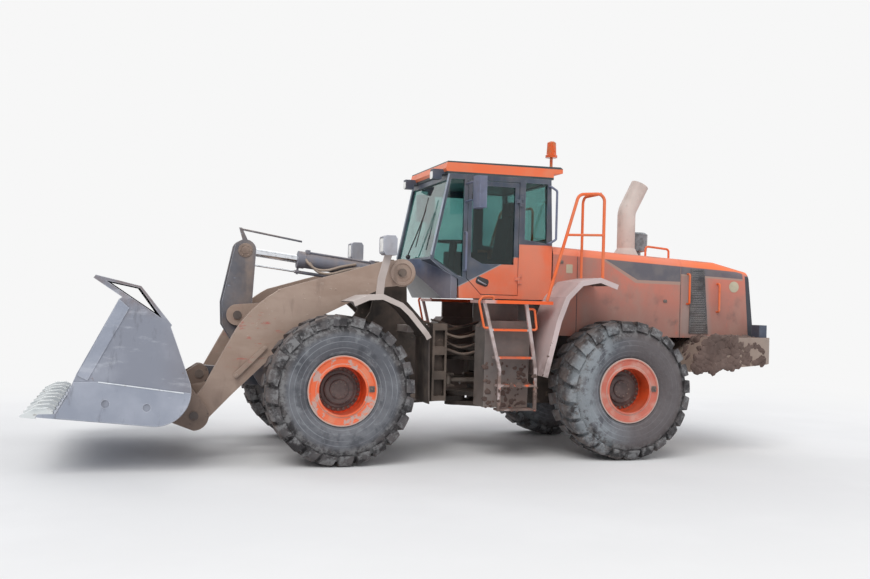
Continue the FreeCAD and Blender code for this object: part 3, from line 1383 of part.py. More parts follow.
REAR_FENDER = [(-600, 1010), (-640, 1180), (-758, 1660), (-866, 1942), (-1053, 2130), (-1311, 2180),
               (-1543, 2103)]


def fender_top_at(x):
    """The height of the rear fender's outer face."""
    for (x0, z0), (x1, z1) in zip(REAR_FENDER, REAR_FENDER[1:]):
        if x1 <= x <= x0:
            return z0 + (z1 - z0) * (x - x0) / (x1 - x0)
    raise ValueError("no rear fender there")


def build_fenders():
    front = [(768, 1446), (800, 1500), (1000, 1730), (1108, 1824), (1328, 1915), (1509, 1903), (1676, 1829)]
    skin = fender("front_fender", front, "fender_in", "fender_out")
    arms = both_sides("fender_arm", "XZ_Plane", [rectangle(810, 1480, 890, 1560)], "front_plate_out",
                      "fender_in + 60")
    stay = [(1200, 1850), (1290, 1885), (1268, 2110), (1195, LAMP_LOW), (1105, LAMP_LOW), (1180, 2090)]
    stays = both_sides("lamp_stay", "XZ_Plane", [stay], "lamp_middle - 6", "lamp_middle + 6")
    left = fuse("front_fender_set_left", [skin[0], arms[0], stays[0]])
    right = fuse("front_fender_set_right", [skin[1], arms[1], stays[1]])
    group("front_fenders", [left, right])
    flap = [(752, 691), (764, 691), (780, 1438.5), (770, 1438.5)]
    flaps = both_sides("mud_flap", "XZ_Plane", [flap], "fender_in + 40", "fender_out - 60")
    group("mud_flaps", flaps)
    rear_skin = fender("rear_fender", REAR_FENDER[::-1], "hood_half", "fender_out")
    corner = rectangle(size("cab_rear") - size("seat_gap"), size("cab_floor") - size("seat_gap"), -800, 2100)
    notches = both_sides("cab_notch", "XZ_Plane", [corner], "hood_half - 5", "cab_half + seat_gap")
    group("rear_fenders", [cut(f"rear_fender_set_{side}", skin, notch)
                           for side, skin, notch in zip(("left", "right"), rear_skin, notches)])


def build_platform():
    plate = rectangle(-750, size("cab_half") + 15, 100, size("platform_out"))
    left = slab("platform_left", "XY_Plane", [plate], "platform_top - platform_plate", "platform_top")
    mirror_plate = [(x, -y) for x, y in plate]
    right = slab("platform_right", "XY_Plane", [mirror_plate], "platform_top - platform_plate", "platform_top")
    bridge = slab("cab_mount", "XY_Plane", [rectangle(-930, -470, -380, 470)], "frame_top",
                  "cab_floor - seat_gap")
    tanks = both_sides("side_tank", "XZ_Plane", [[(-540, 620), (10, 620), (10, 1560), (-60, 1640),
                       (-560, 1640)]], "cab_half - 40", "platform_out - 230")
    stays = both_sides("platform_stay", "XZ_Plane", [rectangle(-500, 1640, -60, 1845)],
                       "cab_half + 20", "cab_half + 60")
    arms = both_sides("tank_arm", "XZ_Plane", [rectangle(-520, 900, -370, 1100)], "frame_half", "cab_half - 40")
    group("platforms", [left, right])
    whole = fuse("tank_set", tanks + arms)
    mount = fuse("mount_set", stays + [bridge])
    group("side_tanks", [whole, mount])


def build_ladders():
    top = size("platform_top") - size("platform_plate")
    front = [(100, top), (60, top), (-140, 1077), (-140, 590), (-104, 590), (-104, 1070)]
    rear = [(-420, top), (-460, top), (-592, 1077), (-592, 590), (-556, 590), (-556, 1070)]
    stringers = []
    for name, outline in (("front", front), ("rear", rear)):
        stringers += both_sides(f"stringer_{name}", "XZ_Plane", [outline], "platform_out - 90", "platform_out - 60")
    steps = []
    for i, (z, x0, x1) in enumerate(((1525, 14, -498), (1200, -68, -552), (874, -104, -556), (595, -104, -556))):
        steps += both_sides(f"step_{i}", "XZ_Plane", [rectangle(x1, z, x0, z + 25)],
                            "platform_out - 200", "platform_out - 60")
    left = fuse("ladder_left_set", [stringers[0], stringers[2]] + steps[0::2])
    right = fuse("ladder_right_set", [stringers[1], stringers[3]] + steps[1::2])
    group("ladders", [left, right])


def grip(points, bend=30):
    """A thin hand-hold along a route."""
    return bent_tube(points, size("grip_radius"), bend)


def build_rails():
    radius, bend = size("rail_radius"), size("rail_bend")
    y, top = size("platform_out") - 40, size("platform_top") + size("seat_gap")
    shapes = []
    post_x = -1400
    foot = fender_top_at(post_x + radius) + size("seat_gap")
    for side in (1, -1):
        dip = radius * 376 / math.hypot(376, 3170 - top)
        outer = [(-687, side * y, top + dip), (-1063, side * y, 3170), (post_x, side * y, 3195),
                 (post_x, side * y, foot)]
        rail = bent_tube(outer, radius, bend)
        middle_start, middle_end = Vector(-920, side * y, 2681), Vector(post_x, side * y, 2697)
        rail = rail.fuse(Part.makeCylinder(radius - 4, (middle_end - middle_start).Length, middle_start,
                                           middle_end - middle_start))
        inner_x, inner_y = post_x + 50, side * (size("hood_half") + 50)
        inner_foot = fender_top_at(inner_x + radius) + size("seat_gap")
        rail = rail.fuse(bent_tube([(inner_x, inner_y, inner_foot), (inner_x, inner_y, 3191),
                                    (inner_x, side * y, 3191)], radius - 2, bend))
        shapes.append(rail)
        gap, ladder_y = size("seat_gap"), side * (size("platform_out") - 75)
        front_at = lambda z: 100 - (size("platform_top") - size("platform_plate") - z) * 204 / 775
        rear_at = lambda z: -460 - (size("platform_top") - size("platform_plate") - z) * 132 / 768
        tube = size("grip_radius")
        shapes.append(grip([(front_at(1560 + tube) + gap, ladder_y, 1560), (80, ladder_y, 1560),
                            (150, ladder_y, 1865), (105, ladder_y, 1925), (-30, ladder_y, 1925),
                            (-30, ladder_y, top)], 40))
        shapes.append(grip([(rear_at(1790 - tube) - gap, ladder_y, 1790), (-545, ladder_y, 1790),
                            (-580, ladder_y, 1545), (rear_at(1545 - tube) - gap, ladder_y, 1545)]))
        wall, out = side * (size("hood_half") + gap), side * (size("hood_half") + size("grip_out"))
        for x, low, high in ((-2881, 1902, 2287), (-3322, 1809, 2172)):
            shapes.append(grip([(x, wall, low), (x, out, low), (x, out, high), (x, wall, high)]))
    feet = [hood_top_at(x + tube) + gap for x in (-2400, -2740)]
    shapes.append(grip([(-2400, 510, feet[0]), (-2400, 510, 2640), (-2740, 510, 2612), (-2740, 510, feet[1])], 40))
    rails = shaped("handrails", shapes)
    finish("handrails", rails)


def build_stack():
    x, radius = size("stack_x"), size("stack_radius")
    top = hood_top_at(x)
    square = Vector(hood_top_at(x - 1) - top, 0, 1).normalize()
    points = [(x, 0, top + 50), (x, 0, 3130), (x - 190, 0, 3500)]
    pipe = bent_tube(points, radius, 260)
    cone = Part.makeCone(radius * 1.6, radius, 130, Vector(x, 0, top) + square * size("seat_gap"), square)
    whole = shaped("exhaust_stack", [pipe.fuse(cone)])
    finish("exhaust_stack", whole)
    x, neck = size("cleaner_x"), 75
    cleaner = lathe("air_cleaner", [(0, 0), (neck, 0), (neck, 110), (160, 130), (165, 360), (130, 385), (0, 385)],
                    (x, size("cleaner_y"), hood_top_at(x + neck) + size("seat_gap")), "Z")
    finish("air_precleaner", cleaner)


def build_beacon():
    roof = size("cab_top") + size("roof_height") + 10 + size("seat_gap")
    post = rod("beacon_post", (-1000, 600, roof), (-1000, 600, 3690), "rail_radius")
    lens = lathe("beacon_lens", [(0, 0), (75, 0), (75, 30), (62, 40), (55, 190), (35, 205), (0, 205)],
                 (-1000, 600, 3690), "Z")
    group("beacon", [post, lens])


def build_work_lamps():
    """Lamps at the roof's front corners and on the counterweight."""
    low, front, gap = size("cab_top"), size("roof_front"), size("seat_gap")
    roof_lamp = [(front - 30 + gap, low - gap / 2), (front + 15, low - gap / 2), (front + 15, low - 60),
                 (front + 115, low - 60), (front + 125, low - 45), (front + 125, low + 60 - gap / 2),
                 (front + gap, low + 60 - gap / 2)]
    lamps = both_sides("roof_lamp", "XZ_Plane", [roof_lamp], "560", "680")
    rear_lamp = rectangle(size("weight_rear") + 50, size("weight_top") + gap, size("weight_rear") + 160,
                          size("weight_top") + 160)
    lamps += both_sides("rear_lamp", "XZ_Plane", [rear_lamp], "860", "1030")
    group("work_lamps", lamps)


def build_mirrors():
    """Door mirrors on two arms each, with the dark hand-holds of the cab."""
    x0, x1, y0, y1 = size("mirror_rear"), size("mirror_front"), size("mirror_in"), size("mirror_out")
    wall, post = size("cab_half") + size("seat_gap"), size("door_front") + 23
    members = []
    for name, side in (("left", 1), ("right", -1)):
        plan = [(x0, side * y0), (x0, side * y1), (x1 - 35, side * y1),
                (x1, side * (y0 + y1) / 2, x1 - 35, side * y0)]
        case = slab(f"mirror_case_{name}", "XY_Plane", [plan], "mirror_low", "mirror_high")
        arms = []
        for i, z in enumerate((size("mirror_low") + 113, size("mirror_high") - 45)):
            arm = bent_tube([(post, side * wall, z), (post, side * (wall + 190), z), (x0 + 60, side * (y0 + 12), z)],
                            size("grip_radius") - 2, 60)
            arms.append(shaped(f"mirror_arm_{name}_{i}", [arm]))
        members.append(fuse(f"mirror_{name}", [case] + arms))
        out = side * (wall + size("grip_out"))
        members.append(shaped(f"pillar_grip_{name}", [grip([
            (post, side * wall, 2230), (post, out, 2230), (post, out, 2690), (post, side * wall, 2690)])]))
        members.append(shaped(f"rear_grip_{name}", [grip([
            (-900, side * wall, 3300), (-900, side * (wall + 45), 3300), (-985, side * (wall + 45), 3250),
            (-985, side * (wall + 45), 2650), (-900, side * (wall + 45), 2600), (-900, side * wall, 2600)])]))
    group("mirrors", members)


def build_headlamps():
    outline = [(1070, LAMP_LOW), (1205, LAMP_LOW), (1225, LAMP_LOW + 30), (1225, LAMP_LOW + 205),
               (1200, LAMP_LOW + 228), (1095, LAMP_LOW + 228), (1070, LAMP_LOW + 190)]
    group("headlamps", both_sides("headlamp", "XZ_Plane", [outline], "lamp_middle - 110", "lamp_middle + 110"))


doc.recompute()
half_base = size("wheelbase") / 2
for wheel_name, wheel_x, wheel_side in (
    ("front_left", half_base, 1), ("front_right", half_base, -1),
    ("rear_left", -half_base, 1), ("rear_right", -half_base, -1),
):
    build_wheel(wheel_name, wheel_x, wheel_side)
    build_rim(wheel_name, wheel_x, wheel_side)
build_axle("front_axle", half_base, size("shaft_front_end"))
build_axle("rear_axle", -half_base, size("shaft_rear_end"), trunnions=True)
build_rear_frame()
build_counterweight()
build_hood()
build_grilles()
build_engine()
build_cab()
build_door()
build_roof()
build_cab_front()
build_seat()
bucket_centre, bucket_front = build_bucket()
build_teeth(bucket_front)
build_bucket_ears(bucket_centre)
build_boom()
build_crank()
build_link()
build_cylinders()
build_steering()
build_front_frame()
build_fenders()
build_platform()
build_ladders()
build_rails()
build_stack()
build_beacon()
build_work_lamps()
build_mirrors()
build_headlamps()

doc.recompute()
for thing in doc.Objects:
    if {"Invalid", "Error"} & set(thing.State):
        raise RuntimeError(thing.Name + " failed: " + str(thing.State))
for label, thing in nodes.items():
    if thing.Shape.isNull() or not thing.Shape.isValid():
        raise RuntimeError(label + " is not a valid shape")
for label, thing in nodes.items():
    thing.Shape.exportStep(f"parts/{label}.step")
print(len(nodes), "sub-parts")
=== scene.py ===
import json
import math
import random

import bmesh
import bpy
from mathutils import Matrix, Vector
from mathutils.bvhtree import BVHTree


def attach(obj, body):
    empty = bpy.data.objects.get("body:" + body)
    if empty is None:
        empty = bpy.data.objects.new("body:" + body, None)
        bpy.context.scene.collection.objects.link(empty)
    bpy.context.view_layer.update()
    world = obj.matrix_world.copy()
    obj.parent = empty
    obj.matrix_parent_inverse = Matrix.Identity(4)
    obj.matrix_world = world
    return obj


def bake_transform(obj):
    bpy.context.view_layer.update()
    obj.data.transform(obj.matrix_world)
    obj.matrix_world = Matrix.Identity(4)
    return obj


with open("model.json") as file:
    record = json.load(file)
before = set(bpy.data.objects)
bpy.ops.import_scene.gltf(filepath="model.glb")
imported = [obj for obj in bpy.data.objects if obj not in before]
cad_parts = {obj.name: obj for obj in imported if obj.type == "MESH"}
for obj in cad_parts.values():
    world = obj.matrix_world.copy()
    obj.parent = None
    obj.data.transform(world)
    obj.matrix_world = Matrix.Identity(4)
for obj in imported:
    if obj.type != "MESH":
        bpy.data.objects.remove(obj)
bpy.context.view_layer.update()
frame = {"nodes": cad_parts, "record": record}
nodes = frame["nodes"]
scene = bpy.context.scene

AHEAD, ACROSS, UP = Vector((1, 0, 0)), Vector((0, 1, 0)), Vector((0, 0, 1))

# Lengths are in metres. Those along X are measured from the articulation pin, which is this far
# behind the frame's origin.
MIDDLE_X = 0.5405
OUTSIDE = 3  # rays at the machine's sides start this far out
FRONT_AXLE_X, REAR_AXLE_X, WHEEL_Z = 1.750, -1.750, 0.840
CAB_HALF = 0.797
FENDER_OUT, LIP, LIP_THICK = 1.450, 0.060, 0.006
SHARP_ANGLE = 38  # degrees: a sharper edge isn't smoothed
CORNER_STEPS = 4

# On the wheels: radii, bolts as (number, first step, circle, radius, height), and rings as
# (outer radius, thickness)
TYRE_RINGS = (0.428, 0.476, 0.545, 0.60)
FLANGE_R, WELL_R, DISC_R, HUB_R = 0.380, 0.269, 0.248, 0.211
BOLT_CIRCLES = ((24, 0, 0.228, 0.015, 0.022), (9, 0.5, 0.085, 0.010, 0.010))
RIM_RINGS = ((0.398, 0.006), (0.302, 0.004), (0.160, 0.005))

# Seen from the side: two seams by their x, and places as (x, z)
HOOD_SEAMS, SEAM_HALF = (-1.32, -2.78), 0.006
CAB_LINE = ((0.50, 1.905), (-0.48, 2.415))
LATCHES = ((-1.10, 2.10), (-2.56, 1.93), (-1.10, 2.38), (-1.62, 1.62))
BUCKET_WELD = ((4.300, 0.952), (4.0, 0.912), (3.7, 0.871), (3.46, 0.838))
FENDER_EDGES = (
    ("front_body", "front_fender", FRONT_AXLE_X,
     ((0.768, 1.446), (0.800, 1.500), (1.000, 1.730), (1.108, 1.824), (1.328, 1.915),
      (1.509, 1.903), (1.676, 1.829))),
    ("rear_body", "rear_fender", REAR_AXLE_X,
     ((-0.600, 1.010), (-0.640, 1.180), (-0.758, 1.660), (-0.866, 1.942), (-1.053, 2.130),
      (-1.311, 2.180), (-1.543, 2.103))),
)

# Hoses: (y, z) of their ends at the articulation, and (x, y, z) along one at the tilt cylinder
HOSE_ENDS = ((0.16, 1.62), (0.24, 1.50), (0.32, 1.40), (-0.18, 1.58), (-0.28, 1.46), (0.40, 1.30))
TILT_HOSE = ((1.985, 0.090, 2.320), (1.945, 0.110, 2.265), (1.860, 0.114, 2.205),
             (1.720, 0.114, 2.195), (1.540, 0.114, 2.245), (1.360, 0.112, 2.280))

# The photograph's camera, turned by these angles in radians
YAW, PITCH, ROLL = -0.2943, 0.0102, 0.0264
CAMERA_PLACE = (4.0114, 12.2434, 1.870)
FOCAL_PIXELS, IMAGE_WIDTH, FILM_WIDTH = 1003.03, 870, 36

# The stage: the floor turns into the backdrop between two distances along X and across
BACKDROP = (0.93, 0.93, 0.93, 1)
FLOOR_HALF = 90
FADE_ALONG, FADE_ACROSS = (5.5, 13), (3.2, 9.0)


def linear(colour, factor=1.0, lift=0.0):
    """A screen colour, 0 to 255, as a linear one with alpha, made darker or lighter."""
    shares = [value / 255 for value in colour]
    shares = [c / 12.92 if c <= 0.04045 else ((c + 0.055) / 1.055) ** 2.4 for c in shares]
    return (*(min(1, c * factor + lift) for c in shares), 1.0)


DUST = (158, 138, 124)
MUD = (82, 68, 62)
ORANGE = (228, 106, 62)
materials = {}


class Coat:
    """A procedural material, built up layer by layer on one Principled shader."""

    def __init__(self, name, roughness, metallic=0.0):
        self.material = materials[name] = bpy.data.materials.new(name)
        self.material.use_nodes = True
        self.tree = self.material.node_tree
        self.shader = self.tree.nodes["Principled BSDF"]
        self.shader.inputs["Roughness"].default_value = roughness
        self.shader.inputs["Metallic"].default_value = metallic
        self.coords = self.tree.nodes.new("ShaderNodeTexCoord").outputs["Object"]
        parts = self.node("ShaderNodeSeparateXYZ", Vector=self.coords)
        self.x, self.y, self.z = parts.outputs["X"], parts.outputs["Y"], parts.outputs["Z"]

    def node(self, kind, **inputs):
        """A new node with its inputs set or linked; an underscore stands for a space."""
        made = self.tree.nodes.new(kind)
        for key, value in inputs.items():
            self.put(made.inputs[key.replace("_", " ")], value)
        return made

    def put(self, socket, value):
        """Link a socket to an output, or set it to a value."""
        if isinstance(value, bpy.types.NodeSocket):
            self.tree.links.new(value, socket)
        else:
            socket.default_value = value

    def math(self, operation, a, b=0.0, c=0.0, clamp=False):
        """One sum on two or three values."""
        made = self.tree.nodes.new("ShaderNodeMath")
        made.operation, made.use_clamp = operation, clamp
        for socket, value in zip(made.inputs, (a, b, c)):
            self.put(socket, value)
        return made.outputs[0]

    def size(self, value):
        """A value without its sign."""
        return self.math("ABSOLUTE", value)

    def times(self, *factors):
        """The product of masks and numbers."""
        value = factors[0]
        for factor in factors[1:]:
            value = self.math("MULTIPLY", value, factor)
        return value

    def either(self, *masks):
        """The largest of several masks."""
        value = masks[0]
        for mask in masks[1:]:
            value = self.math("MAXIMUM", value, mask)
        return value

    def noise(self, scale, detail, stretch=(1, 1, 1), offset=(0, 0, 0), rough=0.55):
        """Soft noise from 0 to 1, stretched and shifted."""
        place = self.node("ShaderNodeMapping", Vector=self.coords, Scale=stretch, Location=offset)
        made = self.node("ShaderNodeTexNoise", Vector=place.outputs[0], Scale=scale,
                         Detail=detail, Roughness=rough)
        return made.outputs["Fac"]

    def step(self, value, low, high):
        """0 below low, 1 above high, smooth between; low above high turns it round."""
        made = self.tree.nodes.new("ShaderNodeMapRange")
        made.interpolation_type = "SMOOTHSTEP"
        flip = low > high
        self.put(made.inputs["Value"], value)
        made.inputs["From Min"].default_value = min(low, high)
        made.inputs["From Max"].default_value = max(low, high)
        made.inputs["To Min"].default_value = 1.0 if flip else 0.0
        made.inputs["To Max"].default_value = 0.0 if flip else 1.0
        return made.outputs[0]

    def along(self, low, high):
        """A step along X between two places measured from the articulation pin."""
        return self.step(self.x, low - MIDDLE_X, high - MIDDLE_X)

    def clouds(self, scale, detail, low, high, *place, **how):
        """Patches of noise: 0 where it is below one level, 1 where it is above the other."""
        made = self.noise(scale, detail, *place, **how)
        return self.step(made, low, high)

    def band(self, value, low, high, soft=0.004):
        """1 between two values, with soft ends."""
        rise = self.step(value, low - soft, low + soft)
        return self.times(rise, self.step(value, high + soft, high - soft))

    def beside(self, start, end, soft=0.003):
        """1 to the left of a line through two (x, z) points, seen with +X to the right."""
        (x0, z0), (x1, z1) = start, end
        length = math.hypot(x1 - x0, z1 - z0)
        a, b = -(z1 - z0) / length, (x1 - x0) / length
        rest = -(a * (x0 - MIDDLE_X) + b * z0)
        distance = self.math("MULTIPLY_ADD", self.x, a, self.math("MULTIPLY_ADD", self.z, b, rest))
        return self.step(distance, -soft, soft)

    def inside(self, outline, soft=0.003):
        """1 inside a convex outline of (x, z) points."""
        turns = sum(a[0] * b[1] - a[1] * b[0] for a, b in zip(outline, outline[1:] + outline[:1]))
        if turns < 0:
            outline = outline[::-1]
        pairs = zip(outline, outline[1:] + outline[:1])
        return self.times(*(self.beside(a, b, soft) for a, b in pairs))

    def reach(self, x, z=WHEEL_Z):
        """How far a point is from a line along Y."""
        across = self.math("POWER", self.math("SUBTRACT", self.x, x - MIDDLE_X), 2)
        up = self.math("POWER", self.math("SUBTRACT", self.z, z), 2)
        return self.math("SQRT", self.math("ADD", across, up))

    def facing(self, axis):
        """The surface normal's size along one axis."""
        normal = self.tree.nodes.new("ShaderNodeNewGeometry").outputs["Normal"]
        return self.node("ShaderNodeSeparateXYZ", Vector=normal).outputs[axis]

    def edges(self, width=0.010):
        """1 at sharp edges, from how far a rounded normal turns away from the flat one."""
        bevel = self.node("ShaderNodeBevel", Radius=width)
        bevel.samples = 4
        flat = self.tree.nodes.new("ShaderNodeNewGeometry").outputs["Normal"]
        turn = self.tree.nodes.new("ShaderNodeVectorMath")
        turn.operation = "DOT_PRODUCT"
        self.tree.links.new(bevel.outputs[0], turn.inputs[0])
        self.tree.links.new(flat, turn.inputs[1])
        return self.step(turn.outputs["Value"], 0.99, 0.86)

    def mix(self, a, b, mask, amount=None):
        """Colour b over colour a where the mask is 1, by no more than an amount."""
        made = self.tree.nodes.new("ShaderNodeMix")
        made.data_type = "RGBA"
        self.put(made.inputs["Factor"], mask if amount is None else self.times(mask, amount))
        self.put(made.inputs["A"], rgba(a))
        self.put(made.inputs["B"], rgba(b))
        return made.outputs["Result"]

    def patchy(self, a, b, scale=1.5, low=0.40, high=0.64, offset=(0, 0, 0)):
        """Two colours in soft clouds."""
        return self.mix(a, b, self.clouds(scale, 5, low, high, offset=offset))

    def spots(self, scale, amount, offset=(0, 0, 0), stretch=(1, 1, 1)):
        """Hard-edged spots over a share of the surface: none at 0 and half of it at 1."""
        low = 0.70 - 0.2 * amount
        return self.clouds(scale, 10, low, low + 0.04, stretch, offset, 0.68)

    def over(self, colour, mask, amount=None):
        """A layer over the colour so far."""
        self.base = self.mix(self.base, colour, mask, amount)

    def speckle(self, colour, *spots):
        """Spots of another colour."""
        self.over(colour, self.spots(*spots))

    def wear(self, colour, amount, width=0.010):
        """Paler patches along the edges: paint rubbed off, which on the boom, nose and bellcrank is
        partly a painted edge highlight.
        """
        patches = self.clouds(6, 6, 0.34, 0.58, offset=(3, 7, 1))
        self.over(colour, self.times(self.edges(width), patches), amount)

    def grime(self, dust, tint=DUST, low=0.0, mud=0.0):
        """Dust in clouds, on what faces up and in streaks; brown below a height; caked mud."""
        clouds = self.times(self.clouds(2.6, 8, 0.36, 0.72, rough=0.62), dust)
        settled = self.times(self.step(self.facing("Z"), 0.3, 0.95), dust * 1.1)
        streaks = self.clouds(3.2, 6, 0.50, 0.76, (2.2, 2.2, 0.25), (3, 1, 2))
        total = self.math("ADD", clouds, settled)
        self.over(tint, self.math("ADD", total, self.times(streaks, dust * 0.8), clamp=True))
        if low:
            patches = self.clouds(2.1, 7, 0.25, 0.6, offset=(5, 2, 8))
            falls = self.times(self.step(self.z, low, low - 0.9), patches)
            self.over((126, 104, 94), falls, 0.85)
        if mud:
            self.speckle(MUD, 6, mud, (2, 9, 4))

    def finish(self, bump=None, strength=0.2, distance=0.004, roughness=None):
        """Put colour, roughness and bump on the shader; a bump may be a noise's scale and detail."""
        self.put(self.shader.inputs["Base Color"], self.base)
        if roughness is not None:
            self.put(self.shader.inputs["Roughness"], roughness)
        if bump is not None:
            height = self.noise(*bump) if isinstance(bump, tuple) else bump
            made = self.node("ShaderNodeBump", Height=height, Strength=strength, Distance=distance)
            self.tree.links.new(made.outputs[0], self.shader.inputs["Normal"])


def rgba(value):
    """A screen colour made linear; a linear one, which has alpha, and an output stay."""
    return linear(value) if isinstance(value, tuple) and len(value) == 3 else value


def painted(name, colour, fade, dust=0.35, tint=DUST, low=0.0, mud=0.0, scratch=0.0,
            scratch_colour=ORANGE, edge=0.5, edge_colour=None, roughness=0.55):
    """Worn paint on anything that has no pattern of its own."""
    coat = Coat(name, roughness)
    coat.base = coat.patchy(colour, fade)
    coat.over(linear(colour, 0.7), coat.clouds(9, 6, 0.52, 0.75), 0.5)
    coat.grime(dust, tint, low, mud)
    if scratch:
        coat.speckle(scratch_colour, 5.5, scratch, (7, 5, 1), (0.6, 1, 2.4))
    if edge:
        coat.wear(edge_colour or linear(fade, 1.5, 0.12), edge)
    coat.finish((38, 5), 0.14)


def hood_coat():
    """Faded red sides under a bright band, with a dark stripe and dark rear edges."""
    coat = Coat("hood_coat", 0.52)
    coat.base = coat.patchy((200, 120, 102), (182, 118, 104))
    lower = coat.step(coat.z, 2.20, 1.60)
    coat.over((150, 113, 103), lower, 0.8)
    coat.over((200, 116, 94), coat.along(-1.45, -1.30), 0.5)
    coat.over((164, 128, 116), coat.clouds(2.8, 9, 0.42, 0.66, (1, 1, 0.6), rough=0.66), 0.7)
    scratches = coat.clouds(7, 9, 0.60, 0.66, (1.6, 1, 0.45), (7, 5, 1), 0.72)
    coat.over((204, 108, 84), scratches, 0.4)
    splashes = coat.clouds(3.4, 9, 0.52, 0.72, offset=(2, 8, 5))
    coat.over((108, 88, 82), splashes, lower)
    near_grille = coat.inside([(-3.24, 1.50), (-2.79, 1.50), (-2.79, 2.46), (-3.16, 2.46)], 0.05)
    coat.over((152, 134, 128), near_grille, 0.75)

    seams = (x - MIDDLE_X for x in HOOD_SEAMS)
    seams = coat.either(*(coat.band(coat.x, x - SEAM_HALF, x + SEAM_HALF, 0.003) for x in seams))
    coat.over((74, 62, 60), seams, 0.85)

    flank = coat.step(coat.size(coat.facing("Y")), 0.35, 0.6)
    border = [(-1.56, 2.49), (-2.135, 2.150), (-2.78, 2.145), (-2.78, 2.49)]
    stripe = [(-1.664, 2.455), (-2.160, 2.190), (-2.775, 2.185), (-2.775, 2.47)]
    tail = [(-2.785, 2.45), (-2.785, 2.285), (-3.70, 2.245), (-3.70, 2.36)]
    tail_line = [(-2.785, 2.285), (-2.785, 2.262), (-3.70, 2.225), (-3.70, 2.245)]
    pale = (164, 142, 130)
    dark = coat.patchy((86, 88, 98), (104, 102, 106), 4)
    coat.over(pale, coat.times(coat.inside(border, 0.004), flank), 0.8)
    marks = coat.either(coat.inside(stripe, 0.004), coat.inside(tail, 0.004))
    coat.over(dark, coat.times(marks, flank), 0.93)
    coat.over(pale, coat.times(coat.inside(tail_line), flank), 0.9)

    band = coat.patchy((238, 130, 94), (228, 138, 112), 1.1)
    band = coat.mix(band, (244, 122, 72), coat.along(-2.4, -3.2))
    dust = coat.times(coat.step(coat.facing("Z"), 0.75, 0.98), coat.clouds(2.4, 8, 0.40, 0.62))
    band = coat.mix(band, (150, 112, 98), dust, 0.7)
    above_line = coat.beside((-3.80, 2.330), (-0.918, 2.478), 0.006)
    coat.over(band, coat.either(above_line, coat.step(coat.facing("Z"), 0.5, 0.7)))
    behind_line = coat.beside((-3.800, 1.46), (-3.722, 2.40))
    coat.over((58, 60, 68), behind_line, coat.step(coat.z, 2.29, 2.28))
    coat.wear((176, 150, 138), 0.5, 0.006)
    coat.finish((30, 6), 0.12)


def cab_coat(name, rear_limit):
    """Orange below a diagonal that rises to the rear, dark slate above, a pale line between."""
    coat = Coat(name, 0.42)
    orange = coat.patchy((232, 112, 72), (226, 130, 100), 1.8)
    orange = coat.mix(orange, (188, 120, 100), coat.spots(5, 0.25, (4, 4, 4)))
    dark = coat.patchy((56, 66, 82), (76, 88, 104), 2.2)
    dark = coat.mix(dark, (104, 104, 108), coat.clouds(3.1, 7, 0.5, 0.7, offset=(1, 6, 2)), 0.5)
    below = coat.times(coat.beside(*CAB_LINE), coat.step(coat.z, 2.415, 2.405))
    behind = coat.times(coat.along(rear_limit + 0.002, rear_limit - 0.002),
                        coat.step(coat.z, 2.575, 2.570))
    coat.base = coat.mix(dark, orange, coat.either(below, behind))
    upper = [(x, z + 0.012) for x, z in CAB_LINE]
    line = coat.times(coat.beside(*upper, 0.002), coat.beside(*CAB_LINE[::-1], 0.002))
    coat.over((176, 172, 170), coat.times(line, coat.step(coat.z, 2.42, 2.41)), 0.8)
    coat.grime(0.14)
    coat.wear((150, 158, 168), 0.6, 0.008)
    coat.finish((30, 4), 0.06)


def nose_coat():
    """Slate blue sheet below the windscreen, brown with dust towards its foot; its lighter patches
    and pale edges are partly painted highlights.
    """
    coat = Coat("nose_coat", 0.34)
    # Lighter patches: partly faded paint, partly painted highlights.
    coat.base = coat.patchy((70, 84, 112), (104, 116, 140), 2.0)
    coat.over((122, 108, 102), coat.step(coat.z, 2.35, 2.05), 0.45)
    coat.grime(0.18)
    # Pale edges: partly worn paint, partly painted highlights.
    coat.wear((176, 184, 198), 0.8)
    coat.finish((26, 4), 0.05)


def roof_coat():
    """An orange band round the roof, with a dark top and underside."""
    coat = Coat("roof_coat", 0.45)
    coat.base = coat.patchy((238, 112, 66), (234, 130, 90), 2.0)
    coat.grime(0.12)
    dark = coat.patchy((44, 58, 60), (66, 74, 76), 3)
    top = coat.either(coat.step(coat.z, 3.522, 3.526), coat.step(coat.facing("Z"), 0.8, 0.9))
    coat.over(dark, coat.either(top, coat.step(coat.z, 3.418, 3.414)))
    coat.finish((30, 4), 0.06)


def boom_coat():
    """Dust-coloured boom, darker low down, with painted highlights and shade, and scuffs where the
    tyre's stones hit it.
    """
    coat = Coat("boom_coat", 0.68)
    coat.base = coat.patchy((166, 142, 127), (178, 156, 142), 1.4)
    coat.over((138, 118, 107), coat.step(coat.z, 1.3, 0.5), 0.6)
    # Paler clouds: painted highlights on the boom.
    pale = coat.clouds(3, 9, 0.46, 0.66, (0.6, 1, 1.5), (4, 1, 2))
    coat.over((184, 162, 148), pale, 0.65)
    # Darker clouds: painted shade on the boom.
    shade = coat.clouds(4.4, 8, 0.56, 0.74, (1.6, 1, 0.5), (9, 1, 2))
    coat.over((122, 104, 95), shade, 0.5)
    marks = coat.times(coat.inside([(2.30, 1.15), (2.95, 1.05), (2.80, 1.75), (2.35, 1.60)], 0.08),
                       coat.clouds(9, 8, 0.56, 0.62, (0.5, 1, 1.4), (7, 5, 1), 0.7))
    coat.over((186, 92, 84), marks, 0.75)
    coat.speckle((192, 122, 98), 7, 0.12, (1, 5, 3))
    coat.speckle(MUD, 13, 0.08, (6, 2, 1))
    coat.grime(0.2, (176, 156, 142))
    # Pale edges: partly worn paint, partly painted edge highlights.
    coat.wear((198, 184, 172), 0.75)
    coat.finish((34, 7), 0.2)


